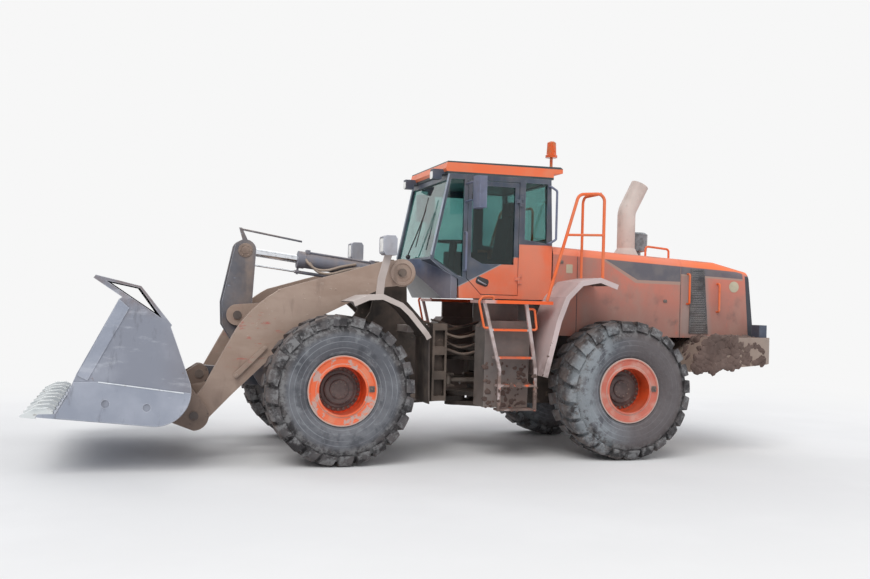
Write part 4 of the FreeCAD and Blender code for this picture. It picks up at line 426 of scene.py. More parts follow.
def bucket_coat(name, plate, fade, brown=True):
    """Bare and faded steel, scored along the bucket's side; its back is brown with dust."""
    coat = Coat(name, 0.46, 0.25)
    coat.base = coat.patchy(plate, fade, 1.3)
    scores = coat.clouds(3.2, 9, 0.52, 0.66, (0.7, 1, 2.2), (4, 2, 6), 0.66)
    coat.over((186, 190, 200), scores, 0.6)
    wear = coat.clouds(4, 9, 0.56, 0.66, (1.6, 1, 0.5), (1, 8, 3), 0.7)
    coat.over((112, 114, 122), wear, 0.5)
    if brown:
        behind = coat.times(coat.along(3.78, 3.40), coat.step(coat.size(coat.y), 1.605, 1.59))
        dusty = coat.patchy((120, 104, 96), (98, 84, 78), 3, offset=(3, 3, 3))
        coat.over(dusty, behind, 0.9)
        top = coat.times(coat.step(coat.z, 1.55, 1.80), coat.clouds(3, 7, 0.40, 0.62))
        coat.over((126, 108, 102), top, 0.7)
    coat.speckle((120, 86, 70), 4, 0.14, (9, 3, 5))
    coat.wear((206, 210, 218), 0.9, 0.012)
    coat.finish((26, 6), 0.12)


def tyre_coat(name, axle_x, brown):
    """Dusty rubber: faint rings on the wall, pale clay caked between the lugs, painted shade for the
    dark gaps.
    """
    coat = Coat(name, 0.88)
    reach = coat.reach(axle_x)
    wall = coat.patchy((96, 98, 104), (114, 116, 121), 2.4)
    wall = coat.mix(wall, (72, 74, 80), coat.clouds(5, 8, 0.48, 0.64, offset=(1, 4, 8)), 0.75)
    rings = coat.either(*(coat.band(reach, radius, radius + 0.005) for radius in TYRE_RINGS))
    rings = coat.times(rings, coat.clouds(3, 5, 0.35, 0.6))
    wall = coat.mix(wall, (164, 168, 174), rings, 0.65)
    wall = coat.mix(wall, (134, 137, 141), coat.clouds(9, 10, 0.54, 0.66, rough=0.7), 0.6)
    tread = coat.patchy((76, 74, 76), (98, 94, 94), 4)
    cake = coat.clouds(10, 11, 0.47, 0.56, offset=(5, 1, 3), rough=0.72)
    tread = coat.mix(tread, (130, 130, 131), cake, 0.8)
    # Dark clouds on the tread: painted shade for the gaps between the lugs.
    tread = coat.mix(tread, (42, 40, 42), coat.clouds(7, 8, 0.50, 0.62, offset=(8, 4, 3)), 0.9)
    coat.base = coat.mix(wall, tread, coat.step(reach, 0.60, 0.68))
    crown = coat.times(coat.step(reach, 0.79, 0.82), coat.step(coat.size(coat.facing("Y")), 0.8, 0.5))
    crown = coat.times(crown, coat.clouds(5, 6, 0.35, 0.6, offset=(2, 2, 7)))
    coat.over((118, 104, 98), crown, 0.7)
    if brown:
        rear_half = coat.times(coat.along(axle_x + 0.30, axle_x - 0.15), coat.step(reach, 0.74, 0.66))
        coat.over((98, 90, 90), rear_half, 0.75)
        cakes = coat.times(coat.along(axle_x + 0.10, axle_x + 0.40),
                           coat.clouds(8, 10, 0.42, 0.52, offset=(1, 1, 9), rough=0.7))
        cakes = coat.times(cakes, coat.band(reach, 0.50, 0.80, 0.06))
        coat.over((146, 153, 158), cakes, 0.7)
    coat.finish(coat.math("MULTIPLY_ADD", cake, 0.5, coat.noise(22, 8)), 0.5, 0.010)


def rim_coat(name, axle_x, ring, recess, pale, clay):
    """A bright flat ring round a deeper orange recess, with a dark dirty hub."""
    coat = Coat(name, 0.5)
    reach = coat.reach(axle_x)
    coat.base = coat.patchy(ring, pale, 5, 0.45, 0.65)
    patches = coat.clouds(7, 9, 0.66 - clay, 0.70 - clay, offset=(3, 6, 2), rough=0.68)
    coat.over((180, 170, 164), patches, 0.8)
    coat.over((188, 178, 170), coat.step(reach, FLANGE_R - 0.008, FLANGE_R + 0.008), 0.8)
    coat.over((190, 172, 162), coat.band(reach, 0.292, 0.302, 0.003), 0.55)
    deep = coat.step(reach, WELL_R + 0.003, WELL_R - 0.003)
    coat.over(coat.patchy(recess, linear(recess, 0.75), 6), deep)
    disc = coat.patchy((150, 66, 42), (92, 62, 56), 6, 0.35, 0.6)
    coat.over(disc, coat.step(reach, DISC_R + 0.004, DISC_R - 0.004))
    hub = coat.patchy((74, 64, 64), (98, 86, 84), 7)
    coat.over(hub, coat.step(reach, HUB_R + 0.003, HUB_R - 0.003))
    coat.grime(0.12)
    coat.finish((30, 6), 0.15)


def ladder_coat():
    """Pale dusty stringers with orange rungs, muddy lower down."""
    coat = Coat("ladder_coat", 0.6)
    stringer = coat.patchy((192, 178, 176), (160, 138, 132), 5)
    stringer = coat.mix(stringer, (226, 108, 70), coat.spots(5, 0.55, (2, 1, 6)))
    rung = coat.mix((232, 100, 48), (150, 110, 98), coat.spots(9, 0.4, (3, 3, 1)))
    between = coat.times(coat.beside((-0.160, 1.070), (0.050, 1.845), 0.004),
                         coat.beside((-0.400, 1.845), (-0.532, 1.077), 0.004))
    coat.base = coat.mix(stringer, rung, between)
    coat.over(coat.patchy((98, 82, 76), (126, 106, 98), 6),
                    coat.times(coat.step(coat.z, 1.45, 0.95), coat.clouds(7, 9, 0.38, 0.50)))
    coat.speckle(MUD, 9, 0.35, (6, 1, 1))
    coat.finish((30, 7), 0.3)


def platform_coat():
    """Orange plate with pale front ends, brown on top."""
    coat = Coat("platform_coat", 0.5)
    coat.base = coat.patchy((240, 98, 34), (228, 92, 44), 3)
    coat.speckle((70, 66, 66), 6, 0.18, (1, 3, 2))
    coat.over((186, 172, 168), coat.along(-0.06, 0.0), 0.8)
    coat.over((128, 112, 102), coat.step(coat.facing("Z"), 0.5, 0.9), 0.85)
    coat.finish((24, 5), 0.12)


def fender_coat(name, top, low, limit):
    """Pale dusty sheet, darker and muddier towards its feet."""
    coat = Coat(name, 0.62)
    coat.base = coat.patchy(top, linear(top, 0.86), 2.2)
    foot = coat.times(coat.step(coat.z, limit, limit - 0.6), coat.clouds(4, 8, 0.34, 0.56))
    coat.over(low, foot, 0.9)
    coat.speckle((104, 92, 90), 8, 0.18, (3, 1, 4))
    under = coat.step(coat.facing("Z"), -0.15, -0.5)
    coat.over(coat.patchy((62, 56, 54), (88, 76, 70), 5), under, 0.9)
    coat.wear((214, 206, 200), 0.45, 0.012)
    coat.finish((24, 7), 0.18)


def frame_coat(name, bright, out, up):
    """Grimy black steelwork, dusty outside of one distance and above one height."""
    coat = Coat(name, 0.78)
    dark = coat.patchy((44, 40, 38), (70, 60, 54), 4)
    dusty = coat.patchy(bright, linear(bright, 0.72), 3)
    where = coat.either(coat.step(coat.size(coat.y), out - 0.02, out + 0.02),
                        coat.step(coat.z, up - 0.15, up + 0.1))
    coat.base = coat.mix(dark, dusty, where)
    coat.speckle((104, 88, 78), 7, 0.45, (1, 2, 9))
    coat.speckle((40, 36, 35), 11, 0.30, (6, 2, 1))
    coat.grime(0.2)
    coat.wear((150, 136, 124), 0.5)
    coat.finish((26, 8), 0.3)


def metal_coat(name, colour, fade, roughness, metallic=1.0):
    """Bare metal with a little grime."""
    coat = Coat(name, roughness, metallic)
    coat.base = coat.patchy(colour, fade, 6, 0.5, 0.72)
    coat.over((120, 108, 98), coat.clouds(14, 6, 0.60, 0.72), 0.5)
    coat.finish()


def clear_coat(name, tint, fade, dust):
    """Tinted glass, hazed with dust in clouds."""
    coat = Coat(name, 0.03)
    coat.shader.inputs["Transmission Weight"].default_value = 1.0
    coat.shader.inputs["IOR"].default_value = 1.45
    coat.base = coat.patchy(tint, fade, 1.4, 0.4, 0.7)
    rough = coat.times(coat.clouds(2.2, 7, 0.50, 0.75, offset=(3, 3, 8)), dust)
    coat.finish(roughness=coat.math("ADD", rough, 0.02))


def glow_coat(name, colour, fade, transmission):
    """Plastic of a lamp or bowl, a little clear."""
    coat = Coat(name, 0.2)
    coat.shader.inputs["Transmission Weight"].default_value = transmission
    coat.base = coat.patchy(colour, fade, 16, 0.42, 0.62)
    coat.finish((60, 2), 0.1, 0.002)


def make_materials():
    """Every material of the machine, by name."""
    hood_coat()
    nose_coat()
    roof_coat()
    boom_coat()
    ladder_coat()
    platform_coat()
    cab_coat("cab_coat", -0.520)
    cab_coat("door_coat", -0.70)
    bucket_coat("bucket_steel", (138, 142, 154), (156, 160, 172))
    bucket_coat("plate_steel", (150, 156, 170), (168, 173, 186), brown=False)
    tyre_coat("front_tyre", FRONT_AXLE_X, False)
    tyre_coat("rear_tyre", REAR_AXLE_X, True)
    rim_coat("front_rim", FRONT_AXLE_X, (234, 104, 58), (226, 74, 20),
             (226, 132, 98), 0.11)
    rim_coat("rear_rim", REAR_AXLE_X, (196, 104, 86), (214, 82, 36),
             (198, 140, 126), 0.02)
    fender_coat("front_fender", (192, 180, 174), (146, 132, 125), 1.75)
    fender_coat("rear_fender", (198, 180, 178), (112, 94, 88), 1.45)
    frame_coat("front_frame", (130, 116, 106), 0.56, 2.05)
    frame_coat("rear_frame", (96, 84, 78), 0.90, 2.6)
    painted("tank_coat", (102, 96, 94), (124, 116, 111), low=1.3, mud=0.2,
            tint=(136, 124, 117))
    painted("weight_coat", (146, 128, 116), (158, 142, 131), dust=0.4, mud=0.35, edge=0.3,
            tint=(138, 119, 110))
    painted("ear_coat", (116, 98, 88), (136, 116, 104), dust=0.3, mud=0.3)
    # The bellcrank's pale bluish spots and pale edges are partly scratches and worn paint, partly
    # painted highlights.
    painted("crank_coat", (82, 84, 92), (108, 110, 118), dust=0.45, scratch=0.3,
            scratch_colour=(150, 160, 180), edge=1.0, edge_colour=(160, 166, 180))
    painted("link_coat", (48, 54, 66), (70, 78, 92), dust=0.25, edge=0.6)
    painted("barrel_coat", (116, 120, 134), (136, 138, 148), dust=0.3, scratch=0.2,
            scratch_colour=(70, 68, 70))
    painted("dark_barrel", (74, 68, 66), (96, 88, 84), mud=0.3)
    painted("rail_orange", (238, 104, 44), (232, 122, 76), dust=0.12, scratch=0.15,
            scratch_colour=(150, 90, 70), edge=0)
    painted("lamp_grey", (142, 146, 158), (170, 174, 184), dust=0.2, edge=0.7)
    painted("grille_black", (44, 46, 52), (64, 66, 72), dust=0.3, edge=0.9,
            edge_colour=(150, 148, 148))
    painted("mirror_grey", (74, 84, 108), (104, 114, 140), dust=0.15, edge=0.7)
    painted("dark_paint", (62, 70, 86), (84, 92, 108), dust=0.2)
    painted("cast_grey", (78, 70, 68), (104, 94, 88), dust=0.4, mud=0.5)
    painted("seat_black", (46, 48, 54), (64, 66, 72), dust=0.06, edge=0, roughness=0.85)
    painted("flap_rubber", (62, 56, 54), (84, 76, 72), dust=0.4, edge=0, roughness=0.85)
    painted("stack_paint", (200, 184, 176), (214, 200, 192), dust=0.15, scratch=0.1,
            scratch_colour=(130, 104, 90), edge=0.3)
    painted("hose_rubber", (58, 54, 54), (96, 86, 80), dust=0.45, edge=0, roughness=0.8)
    painted("pale_hose", (176, 160, 146), (140, 122, 108), dust=0.3, edge=0, roughness=0.7)
    painted("clod_mud", (98, 80, 74), (70, 56, 52), dust=0.3, edge=0, tint=(132, 114, 106),
            roughness=0.95)
    painted("blank_plate", (196, 186, 160), (178, 172, 150), dust=0.2, edge=0)
    painted("pale_seal", (170, 180, 192), (148, 158, 172), dust=0.15, edge=0)
    painted("wiper_black", (36, 38, 42), (56, 58, 62), dust=0.15, edge=0)
    metal_coat("tooth_steel", (214, 218, 218), (184, 190, 192), 0.5, 0.15)
    metal_coat("bead_steel", (222, 226, 230), (200, 206, 212), 0.4, 0.3)
    metal_coat("chrome_rod", (226, 229, 234), (190, 192, 198), 0.16)
    metal_coat("dirty_rod", (128, 118, 110), (92, 82, 76), 0.5, 0.5)
    metal_coat("mirror_glass", (190, 200, 214), (150, 160, 176), 0.06)
    clear_coat("cab_glass", (150, 190, 186), (126, 170, 168), 0.15)
    clear_coat("door_glass", (116, 158, 156), (96, 140, 140), 0.12)
    glow_coat("bowl_plastic", (150, 156, 162), (120, 124, 128), 0.35)
    glow_coat("lamp_lens", (236, 96, 30), (214, 120, 66), 0.3)
    glow_coat("clear_lens", (252, 252, 248), (236, 236, 234), 0.0)
    glow_coat("red_lens", (176, 40, 32), (150, 60, 50), 0.2)


make_materials()
record_slot = {entry["node"]: entry["material_slot"] for entry in frame["record"]["subparts"]}
# Nodes with a material other than the one their slot in the record names
NODE_COATS = {
    "hood": "hood_coat", "cab_nose": "nose_coat", "cab_roof": "roof_coat", "cab_frame": "cab_coat",
    "cab_door": "door_coat", "door_glass": "door_glass", "boom": "boom_coat",
    "ladders": "ladder_coat",
    "platforms": "platform_coat", "handrails": "rail_orange", "bucket_shell": "bucket_steel",
    "bucket_wear_plates": "plate_steel", "cutting_edge": "plate_steel", "bucket_ears": "ear_coat",
    "front_fenders": "front_fender", "rear_fenders": "rear_fender", "front_frame": "front_frame",
    "rear_frame": "rear_frame", "side_tanks": "tank_coat", "counterweight": "weight_coat",
    "bellcrank": "crank_coat", "tilt_link": "link_coat", "tilt_barrel": "barrel_coat",
    "headlamps": "lamp_grey", "grilles": "grille_black", "mirrors": "mirror_grey",
    "work_lamps": "dark_paint",
}
for hand in ("left", "right"):
    for cylinder in ("lift", "steer"):
        NODE_COATS[f"{cylinder}_{hand}_barrel"] = "dark_barrel"
        NODE_COATS[f"{cylinder}_{hand}_rod"] = "dirty_rod"
    for end in ("front", "rear"):
        for what in ("tyre", "rim"):
            NODE_COATS[f"{end}_{hand}_{what}"] = f"{end}_{what}"
for name, thing in nodes.items():
    thing.data.materials.clear()
    thing.data.materials.append(materials[NODE_COATS.get(name, record_slot[name])])


def point(x, y, z):
    """A place in the frame, with x from the articulation pin."""
    return Vector((x - MIDDLE_X, y, z))


trees = {}


def struck(node, start, heading):
    """Where a ray first meets a node, and the surface's normal there."""
    if node not in trees:
        mesh = nodes[node].data
        corners = [vertex.co for vertex in mesh.vertices]
        trees[node] = BVHTree.FromPolygons(corners, [face.vertices for face in mesh.polygons])
    place, normal, _, _ = trees[node].ray_cast(start, heading)
    return place, normal


def from_side(node, side, x, z):
    """Where a ray from outside, left or right, first meets a node."""
    place, _ = struck(node, point(x, side * OUTSIDE, z), Vector((0, -side, 0)))
    return place


def add_piece(name, shape, body, coat):
    """A shape as a piece of the scene; with no body, it is attached to none."""
    mesh = bpy.data.meshes.new(name)
    bmesh.ops.recalc_face_normals(shape, faces=shape.faces)
    shape.to_mesh(mesh)
    shape.free()
    for polygon in mesh.polygons:
        polygon.use_smooth = True
    mesh.set_sharp_from_angle(angle=math.radians(SHARP_ANGLE))
    thing = bpy.data.objects.new(name, mesh)
    scene.collection.objects.link(thing)
    mesh.materials.append(materials[coat])
    if body:
        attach(thing, body)
    return thing


def side_frame(direction):
    """Two directions square to one and to each other."""
    direction = direction.normalized()
    helper = UP if abs(direction.z) < 0.9 else AHEAD
    first = direction.cross(helper).normalized()
    return first, direction.cross(first)


def around(middle, u, v, radius, count):
    """Points on a circle across two directions."""
    angles = (2 * math.pi * i / count for i in range(count))
    return [middle + (u * math.cos(a) + v * math.sin(a)) * radius for a in angles]


def add_skin(shape, rings):
    """Faces between rings of equal numbers of points, closed round each ring and at both ends."""
    rings = [[shape.verts.new(place) for place in ring] for ring in rings]
    for low, high in zip(rings, rings[1:]):
        for i in range(len(low)):
            shape.faces.new((low[i - 1], low[i], high[i], high[i - 1]))
    shape.faces.new(rings[0][::-1])
    shape.faces.new(rings[-1])


def add_turned(shape, centre, direction, outline, segments=24):
    """A turned form round an axis: outline of (radius, height), closed at both ends."""
    u, v = side_frame(direction)
    direction = direction.normalized()
    add_skin(shape, [around(centre + direction * height, u, v, radius, segments)
                     for radius, height in outline])


def add_bolt(shape, place, direction, radius, height):
    """A six-sided bolt's head, with its foot 2 mm deep."""
    add_turned(shape, place - direction * 0.002, direction,
               [(radius, 0), (radius, height * 0.85), (radius * 0.85, height)], 6)


def add_ring(shape, centre, direction, radius, thick, segments=64, sides=8):
    """A ring of round wire."""
    u, v = side_frame(direction)
    direction = direction.normalized()
    rings = []
    for out in around(Vector(), u, v, 1, segments):
        ring = []
        for j in range(sides):
            turn = 2 * math.pi * j / sides
            middle = centre + out * (radius + thick * math.cos(turn))
            ring.append(shape.verts.new(middle + direction * thick * math.sin(turn)))
        rings.append(ring)
    for i in range(segments):
        for j in range(sides):
            shape.faces.new((rings[i - 1][j - 1], rings[i - 1][j], rings[i][j], rings[i][j - 1]))


def add_tube(shape, points, radius, sides=10, steps=8):
    """A round bar along a smooth line through the points."""
    line = []
    ends = [points[0] * 2 - points[1]] + list(points) + [points[-1] * 2 - points[-2]]
    for a, b, c, d in zip(ends, ends[1:], ends[2:], ends[3:]):
        for i in range(steps):
            t = i / steps
            line.append(0.5 * ((2 * b) + (c - a) * t + (2 * a - 5 * b + 4 * c - d) * t * t
                               + (3 * b - a - 3 * c + d) * t * t * t))
    line.append(points[-1])
    u, _ = side_frame(line[1] - line[0])
    rings = []
    for i, here in enumerate(line):
        ahead = (line[min(i + 1, len(line) - 1)] - line[max(i - 1, 0)]).normalized()
        u = (u - ahead * u.dot(ahead)).normalized()
        rings.append(around(here, u, ahead.cross(u), radius, sides))
    add_skin(shape, rings)


def add_plate(shape, outline, thickness, rounding):
    """A flat plate from its corner points, thickened along a vector, edges rounded."""
    low = [shape.verts.new(p) for p in outline]
    high = [shape.verts.new(p + thickness) for p in outline]
    made = [shape.faces.new(low[::-1]), shape.faces.new(high)]
    for i in range(len(low)):
        made.append(shape.faces.new((low[i - 1], low[i], high[i], high[i - 1])))
    edges = list(dict.fromkeys(edge for face in made for edge in face.edges))
    bmesh.ops.bevel(shape, geom=edges, offset=rounding, segments=2, affect="EDGES", profile=0.7)


def rounded(centre, right, up, half_width, half_height, corner):
    """A rounded rectangle's points round a centre."""
    made = []
    for sx, sy, start in ((1, 1, 0), (-1, 1, 90), (-1, -1, 180), (1, -1, 270)):
        middle = centre + right * sx * (half_width - corner) + up * sy * (half_height - corner)
        for i in range(CORNER_STEPS + 1):
            angle = math.radians(start + 90 * i / CORNER_STEPS)
            made.append(middle + (right * math.cos(angle) + up * math.sin(angle)) * corner)
    return made


def add_clod(shape, place, radius, flat, normal, chance):
    """One lump of caked mud, flattened on to its surface."""
    made = bmesh.ops.create_icosphere(shape, subdivisions=2, radius=1.0)["verts"]
    u, v = side_frame(normal)
    scale = (radius * chance.uniform(0.7, 1.4), radius * chance.uniform(0.7, 1.3), radius * flat)
    phases = [chance.uniform(0, 6.3) for _ in range(6)]
    for vertex in made:
        p = vertex.co
        swell = (1 + 0.22 * math.sin(3.1 * p.x + phases[0]) * math.cos(2.7 * p.y + phases[1])
                 + 0.16 * math.sin(5.3 * p.z + phases[2] + 4.1 * p.x)
                 + 0.10 * math.sin(8.7 * p.y + phases[3] + 6.3 * p.x))
        stretched = u * p.x * scale[0] + v * p.y * scale[1] + normal * p.z * scale[2]
        vertex.co = place + stretched * swell


def caked(name, body, node, count, size_range, spread, seed, heading=-ACROSS, flat=0.5,
          coat="clod_mud"):
    """Lumps of mud over part of a node: spread gives the low and high start corners of the rays."""
    chance = random.Random(seed)
    shape = bmesh.new()
    low, high = spread
    for _ in range(count):
        start = Vector(chance.uniform(a, b) for a, b in zip(low, high))
        radius = chance.uniform(*size_range) * chance.uniform(0.5, 1)
        place, normal = struck(node, start, heading)
        if place is None:
            continue
        if normal.dot(heading) > 0:
            normal = -normal
        add_clod(shape, place - normal * radius * flat * 0.2, radius, flat, normal, chance)
    add_piece(name, shape, body, coat)


def make_wheel_details():
    """Bolts, rings and a valve on each rim."""
    for end, axle_x in (("front", FRONT_AXLE_X), ("rear", REAR_AXLE_X)):
        for hand, side in (("left", 1), ("right", -1)):
            rim, body, out = f"{end}_{hand}_rim", f"{end}_{hand}_wheel", ACROSS * side
            bolts, rings = bmesh.new(), bmesh.new()
            for count, first, circle, radius, height in BOLT_CIRCLES:
                for i in range(count):
                    angle = 2 * math.pi * (i + first) / count
                    place = from_side(rim, side, axle_x + circle * math.cos(angle),
                                      WHEEL_Z + circle * math.sin(angle))
                    add_bolt(bolts, place, out, radius, height)
            for radius, thick in RIM_RINGS:
                place = from_side(rim, side, axle_x + radius, WHEEL_Z)
                if place is not None:
                    add_ring(rings, point(axle_x, place.y, WHEEL_Z), out, radius - thick, thick)
            valve = from_side(rim, side, axle_x - 0.33, WHEEL_Z + 0.02)
            patch = rounded(valve, AHEAD, UP, 0.030, 0.034, 0.008)
            add_plate(bolts, patch, out * 0.012, 0.002)
            add_turned(bolts, valve + AHEAD * 0.005, out,
                       [(0.008, 0), (0.008, 0.045), (0.005, 0.05)], 10)
            add_piece(f"{end}_{hand}_hub_bolts", bolts, body, "cast_grey")
            add_piece(f"{end}_{hand}_rim_rings", rings, body, f"{end}_rim")


def make_lamp_details():
    """Lenses of the lamps, and the headlamps' frames."""
    lenses, rear, heads, frames = (bmesh.new() for _ in range(4))
    for side in (1, -1):
        front, _ = struck("work_lamps", point(1.5, side * 0.62, 3.375), -AHEAD)
        add_plate(lenses, rounded(front, ACROSS, UP, 0.048, 0.046, 0.020), AHEAD * 0.008, 0.003)
        back, _ = struck("work_lamps", point(-4.5, side * 0.945, 1.56), AHEAD)
        add_plate(rear, rounded(back, ACROSS, UP, 0.070, 0.060, 0.012), -AHEAD * 0.006, 0.002)
        front, _ = struck("headlamps", point(2, side * 0.89, 2.49), -AHEAD)
        add_plate(heads, rounded(front, ACROSS, UP, 0.082, 0.078, 0.022), AHEAD * 0.010, 0.004)
        route = rounded(front + AHEAD * 0.002, ACROSS, UP, 0.098, 0.092, 0.030)
        add_tube(frames, route + route[:2], 0.010, 8, 2)
    add_piece("roof_lamp_lenses", lenses, "rear_body", "clear_lens")
    add_piece("rear_lamp_lenses", rear, "rear_body", "red_lens")
    add_piece("headlamp_lenses", heads, "front_body", "clear_lens")
    add_piece("headlamp_frames", frames, "front_body", "lamp_grey")


def make_cab_details():
    """Seals at the cab's front corners, the wiper, and the mirrors' glasses and clamps."""
    seals = bmesh.new()
    post = [(0.603, 2.405), (0.505, 2.88), (0.402, 3.385)]
    sill = [(0.605, 2.352), (0.50, 2.27), (0.38, 2.195), (0.26, 2.165), (0.215, 2.160)]
    for side in (1, -1):
        add_tube(seals, [point(x, side * CAB_HALF, z) for x, z in post], 0.011, 8, 6)
        add_tube(seals, [point(x, side * (CAB_HALF - 0.0005), z) for x, z in sill], 0.003, 8, 6)
    add_piece("cab_corner_seals", seals, "rear_body", "pale_seal")
    wiper = bmesh.new()
    arm = [point(0.655, -0.10, 2.40), point(0.575, 0.12, 2.74), point(0.520, 0.25, 2.99)]
    add_tube(wiper, arm, 0.008, 8, 6)
    blade = [point(0.628, 0.20, 2.52), point(0.560, 0.235, 2.84), point(0.495, 0.26, 3.14)]
    add_tube(wiper, blade, 0.007, 6, 6)
    add_turned(wiper, point(0.620, -0.10, 2.40), Vector((1, 0, 0.3)),
               [(0.028, 0), (0.028, 0.035), (0.015, 0.05)], 16)
    add_piece("windscreen_wiper", wiper, "rear_body", "wiper_black")
    glasses, clamps = bmesh.new(), bmesh.new()
    for side in (1, -1):
        glass = rounded(point(0.1048, side * 1.215, 3.135), ACROSS, UP, 0.100, 0.165, 0.02)
        add_plate(glasses, glass, AHEAD * -0.004, 0.001)
        clamp = rounded(point(0.165, side * 1.095, 3.10), AHEAD, UP, 0.034, 0.036, 0.01)
        add_plate(clamps, clamp, ACROSS * side * -0.03, 0.004)
    add_piece("mirror_glasses", glasses, "rear_body", "mirror_glass")
    add_piece("mirror_clamps", clamps, "rear_body", "wiper_black")


def make_door_details():
    """The door's recessed handle, the blank plates and the hood's latches."""
    lean, upright = Vector((0.95, 0, 0.31)), Vector((-0.31, 0, 0.95))
    handle = bmesh.new()
    face = from_side("cab_door", 1, -0.05, 2.105)
    add_plate(handle, rounded(face, lean, upright, 0.082, 0.046, 0.030), ACROSS * 0.004, 0.0015)
    add_piece("door_handle_dish", handle, "door_body", "wiper_black")
    lever = bmesh.new()
    grip = ((0.055, 0.006, 0), (0.050, 0.026, -0.010), (-0.035, 0.026, -0.022),
            (-0.055, 0.006, -0.020))
    add_tube(lever, [face + lean * a + ACROSS * b + upright * c for a, b, c in grip], 0.009, 8, 6)
    add_piece("door_handle", lever, "door_body", "lamp_grey")
    plates = bmesh.new()
    place = from_side("hood", 1, -1.21, 2.30)
    add_plate(plates, rounded(place, AHEAD, UP, 0.043, 0.055, 0.010), ACROSS * 0.003, 0.001)
    place = from_side("hood", 1, -3.570, 2.140)
    add_turned(plates, place, ACROSS, [(0.072, -0.002), (0.072, 0.003), (0.069, 0.004)], 32)
    add_piece("blank_plates", plates, "rear_body", "blank_plate")
    latches = bmesh.new()
    for side in (1, -1):
        out = ACROSS * side
        for x, z in LATCHES:
            place = from_side("hood", side, x, z)
            if place is not None:
                add_plate(latches, rounded(place, AHEAD, UP, 0.026, 0.020, 0.008), out * 0.008, 0.002)
                add_bolt(latches, place + out * 0.008, out, 0.010, 0.008)
    add_piece("hood_latches", latches, "rear_body", "cast_grey")


def make_bucket_details():
    """A weld bead along each side of the bucket."""
    beads = bmesh.new()
    for side in (1, -1):
        route = []
        for x, z in BUCKET_WELD:
            place = from_side("bucket_wear_plates", side, x, z)
            if place is None:
                place = from_side("bucket_shell", side, x, z)
            route.append(place)
        add_tube(beads, route, 0.007, 8, 8)
    add_piece("bucket_weld_lines", beads, "bucket_body", "bead_steel")


def make_boom_details():
    """Bolted caps over the bellcrank's upper pin, and two pale hoses beside the tilt cylinder."""
    caps = bmesh.new()
    cap = [(0.085, 0), (0.085, 0.010), (0.078, 0.014), (0.045, 0.014), (0.042, 0.022),
           (0.036, 0.024)]
    for side in (1, -1):
        out = ACROSS * side
        face = from_side("bellcrank", side, 2.720, 2.400)
        add_turned(caps, face - out * 0.002, out, cap, 32)
        for place in around(face + out * 0.012, AHEAD, UP, 0.062, 6):
            add_bolt(caps, place, out, 0.009, 0.009)
    add_piece("bellcrank_caps", caps, "bellcrank_body", "ear_coat")
    for i in range(2):
        hose = bmesh.new()
        add_tube(hose, [point(x - i * 0.05, y, z - i * 0.042) for x, y, z in TILT_HOSE], 0.016, 10, 8)
        add_piece(f"tilt_hose_{i}", hose, "tilt_barrel_body", "pale_hose")


def make_fender_lips():
    """A turned-down lip along the outer edge of each fender."""
    for body, coat, axle_x, outline in FENDER_EDGES:
        shape = bmesh.new()
        for side in (1, -1):
            rows = []
            for i, (x, z) in enumerate(outline):
                (x0, z0), (x1, z1) = outline[max(i - 1, 0)], outline[min(i + 1, len(outline) - 1)]
                inward = Vector((z1 - z0, 0, x0 - x1)).normalized()
                if inward.dot(Vector((axle_x - x, 0, WHEEL_Z - z))) < 0:
                    inward = -inward
                top = point(x, side * FENDER_OUT, z)
                across = ACROSS * side * LIP_THICK
                rows.append((top, top + across, top + across + inward * LIP, top + inward * LIP))
            add_skin(shape, rows)
        add_piece(f"{coat}_lips", shape, body, coat)


def make_hoses():
    """Six hoses across the articulation, from one frame to the other."""
    chance = random.Random(11)
    for i, (y, z) in enumerate(HOSE_ENDS):
        dip = chance.uniform(0.05, 0.12)
        route = (point(0.395, y, z), point(0.30, y + 0.02, z - 0.02), point(0.08, y + 0.07, z - dip),
                 point(-0.14, y + 0.04, z - dip * 0.6), point(-0.352, y, z + 0.01))
        shape = bmesh.new()
        add_tube(shape, route, 0.017 if i % 2 else 0.013, 10, 8)
        coat = "pale_hose" if i in (1, 3) else "hose_rubber"
        hose = add_piece(f"articulation_hose_{i}", shape, None, coat)
        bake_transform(hose)


def make_mud():
    """Mud on the counterweight, tanks, ladders, fenders and boom."""
    caked("counterweight_mud", "rear_body", "counterweight", 260, (0.03, 0.085),
          (point(-3.35, 3, 1.06), point(-2.70, 3, 1.50)), 5)
    caked("counterweight_end_mud", "rear_body", "counterweight", 45, (0.02, 0.06),
          (point(-3.75, 3, 1.10), point(-3.30, 3, 1.42)), 15)
    caked("counterweight_mud_right", "rear_body", "counterweight", 130, (0.03, 0.08),
          (point(-3.75, -3, 1.06), point(-2.72, -3, 1.50)), 6, Vector((0, 1, 0)))
    caked("counterweight_top_mud", "rear_body", "counterweight", 200, (0.03, 0.08),
          (point(-3.88, -1.15, 3), point(-2.75, 1.15, 3)), 7, Vector((0, 0, -1)))
    caked("tank_mud", "rear_body", "side_tanks", 120, (0.015, 0.04),
          (point(-0.75, 3, 0.60), point(0.05, 3, 1.15)), 8)
    caked("ladder_mud", "rear_body", "ladders", 160, (0.012, 0.035),
          (point(-0.62, 3, 0.45), point(0.0, 3, 1.15)), 9)
    caked("fender_foot_mud", "rear_body", "rear_fenders", 60, (0.012, 0.03),
          (point(-0.80, 3, 1.02), point(-0.60, 3, 1.45)), 10)
    caked("boom_mud", "boom_body", "boom", 70, (0.008, 0.022),
          (point(1.3, 3, 1.4), point(3.2, 3, 2.1)), 12, flat=0.3, coat="boom_coat")


make_wheel_details()
make_lamp_details()
make_cab_details()
make_door_details()
make_bucket_details()
make_boom_details()
make_fender_lips()
make_hoses()
make_mud()


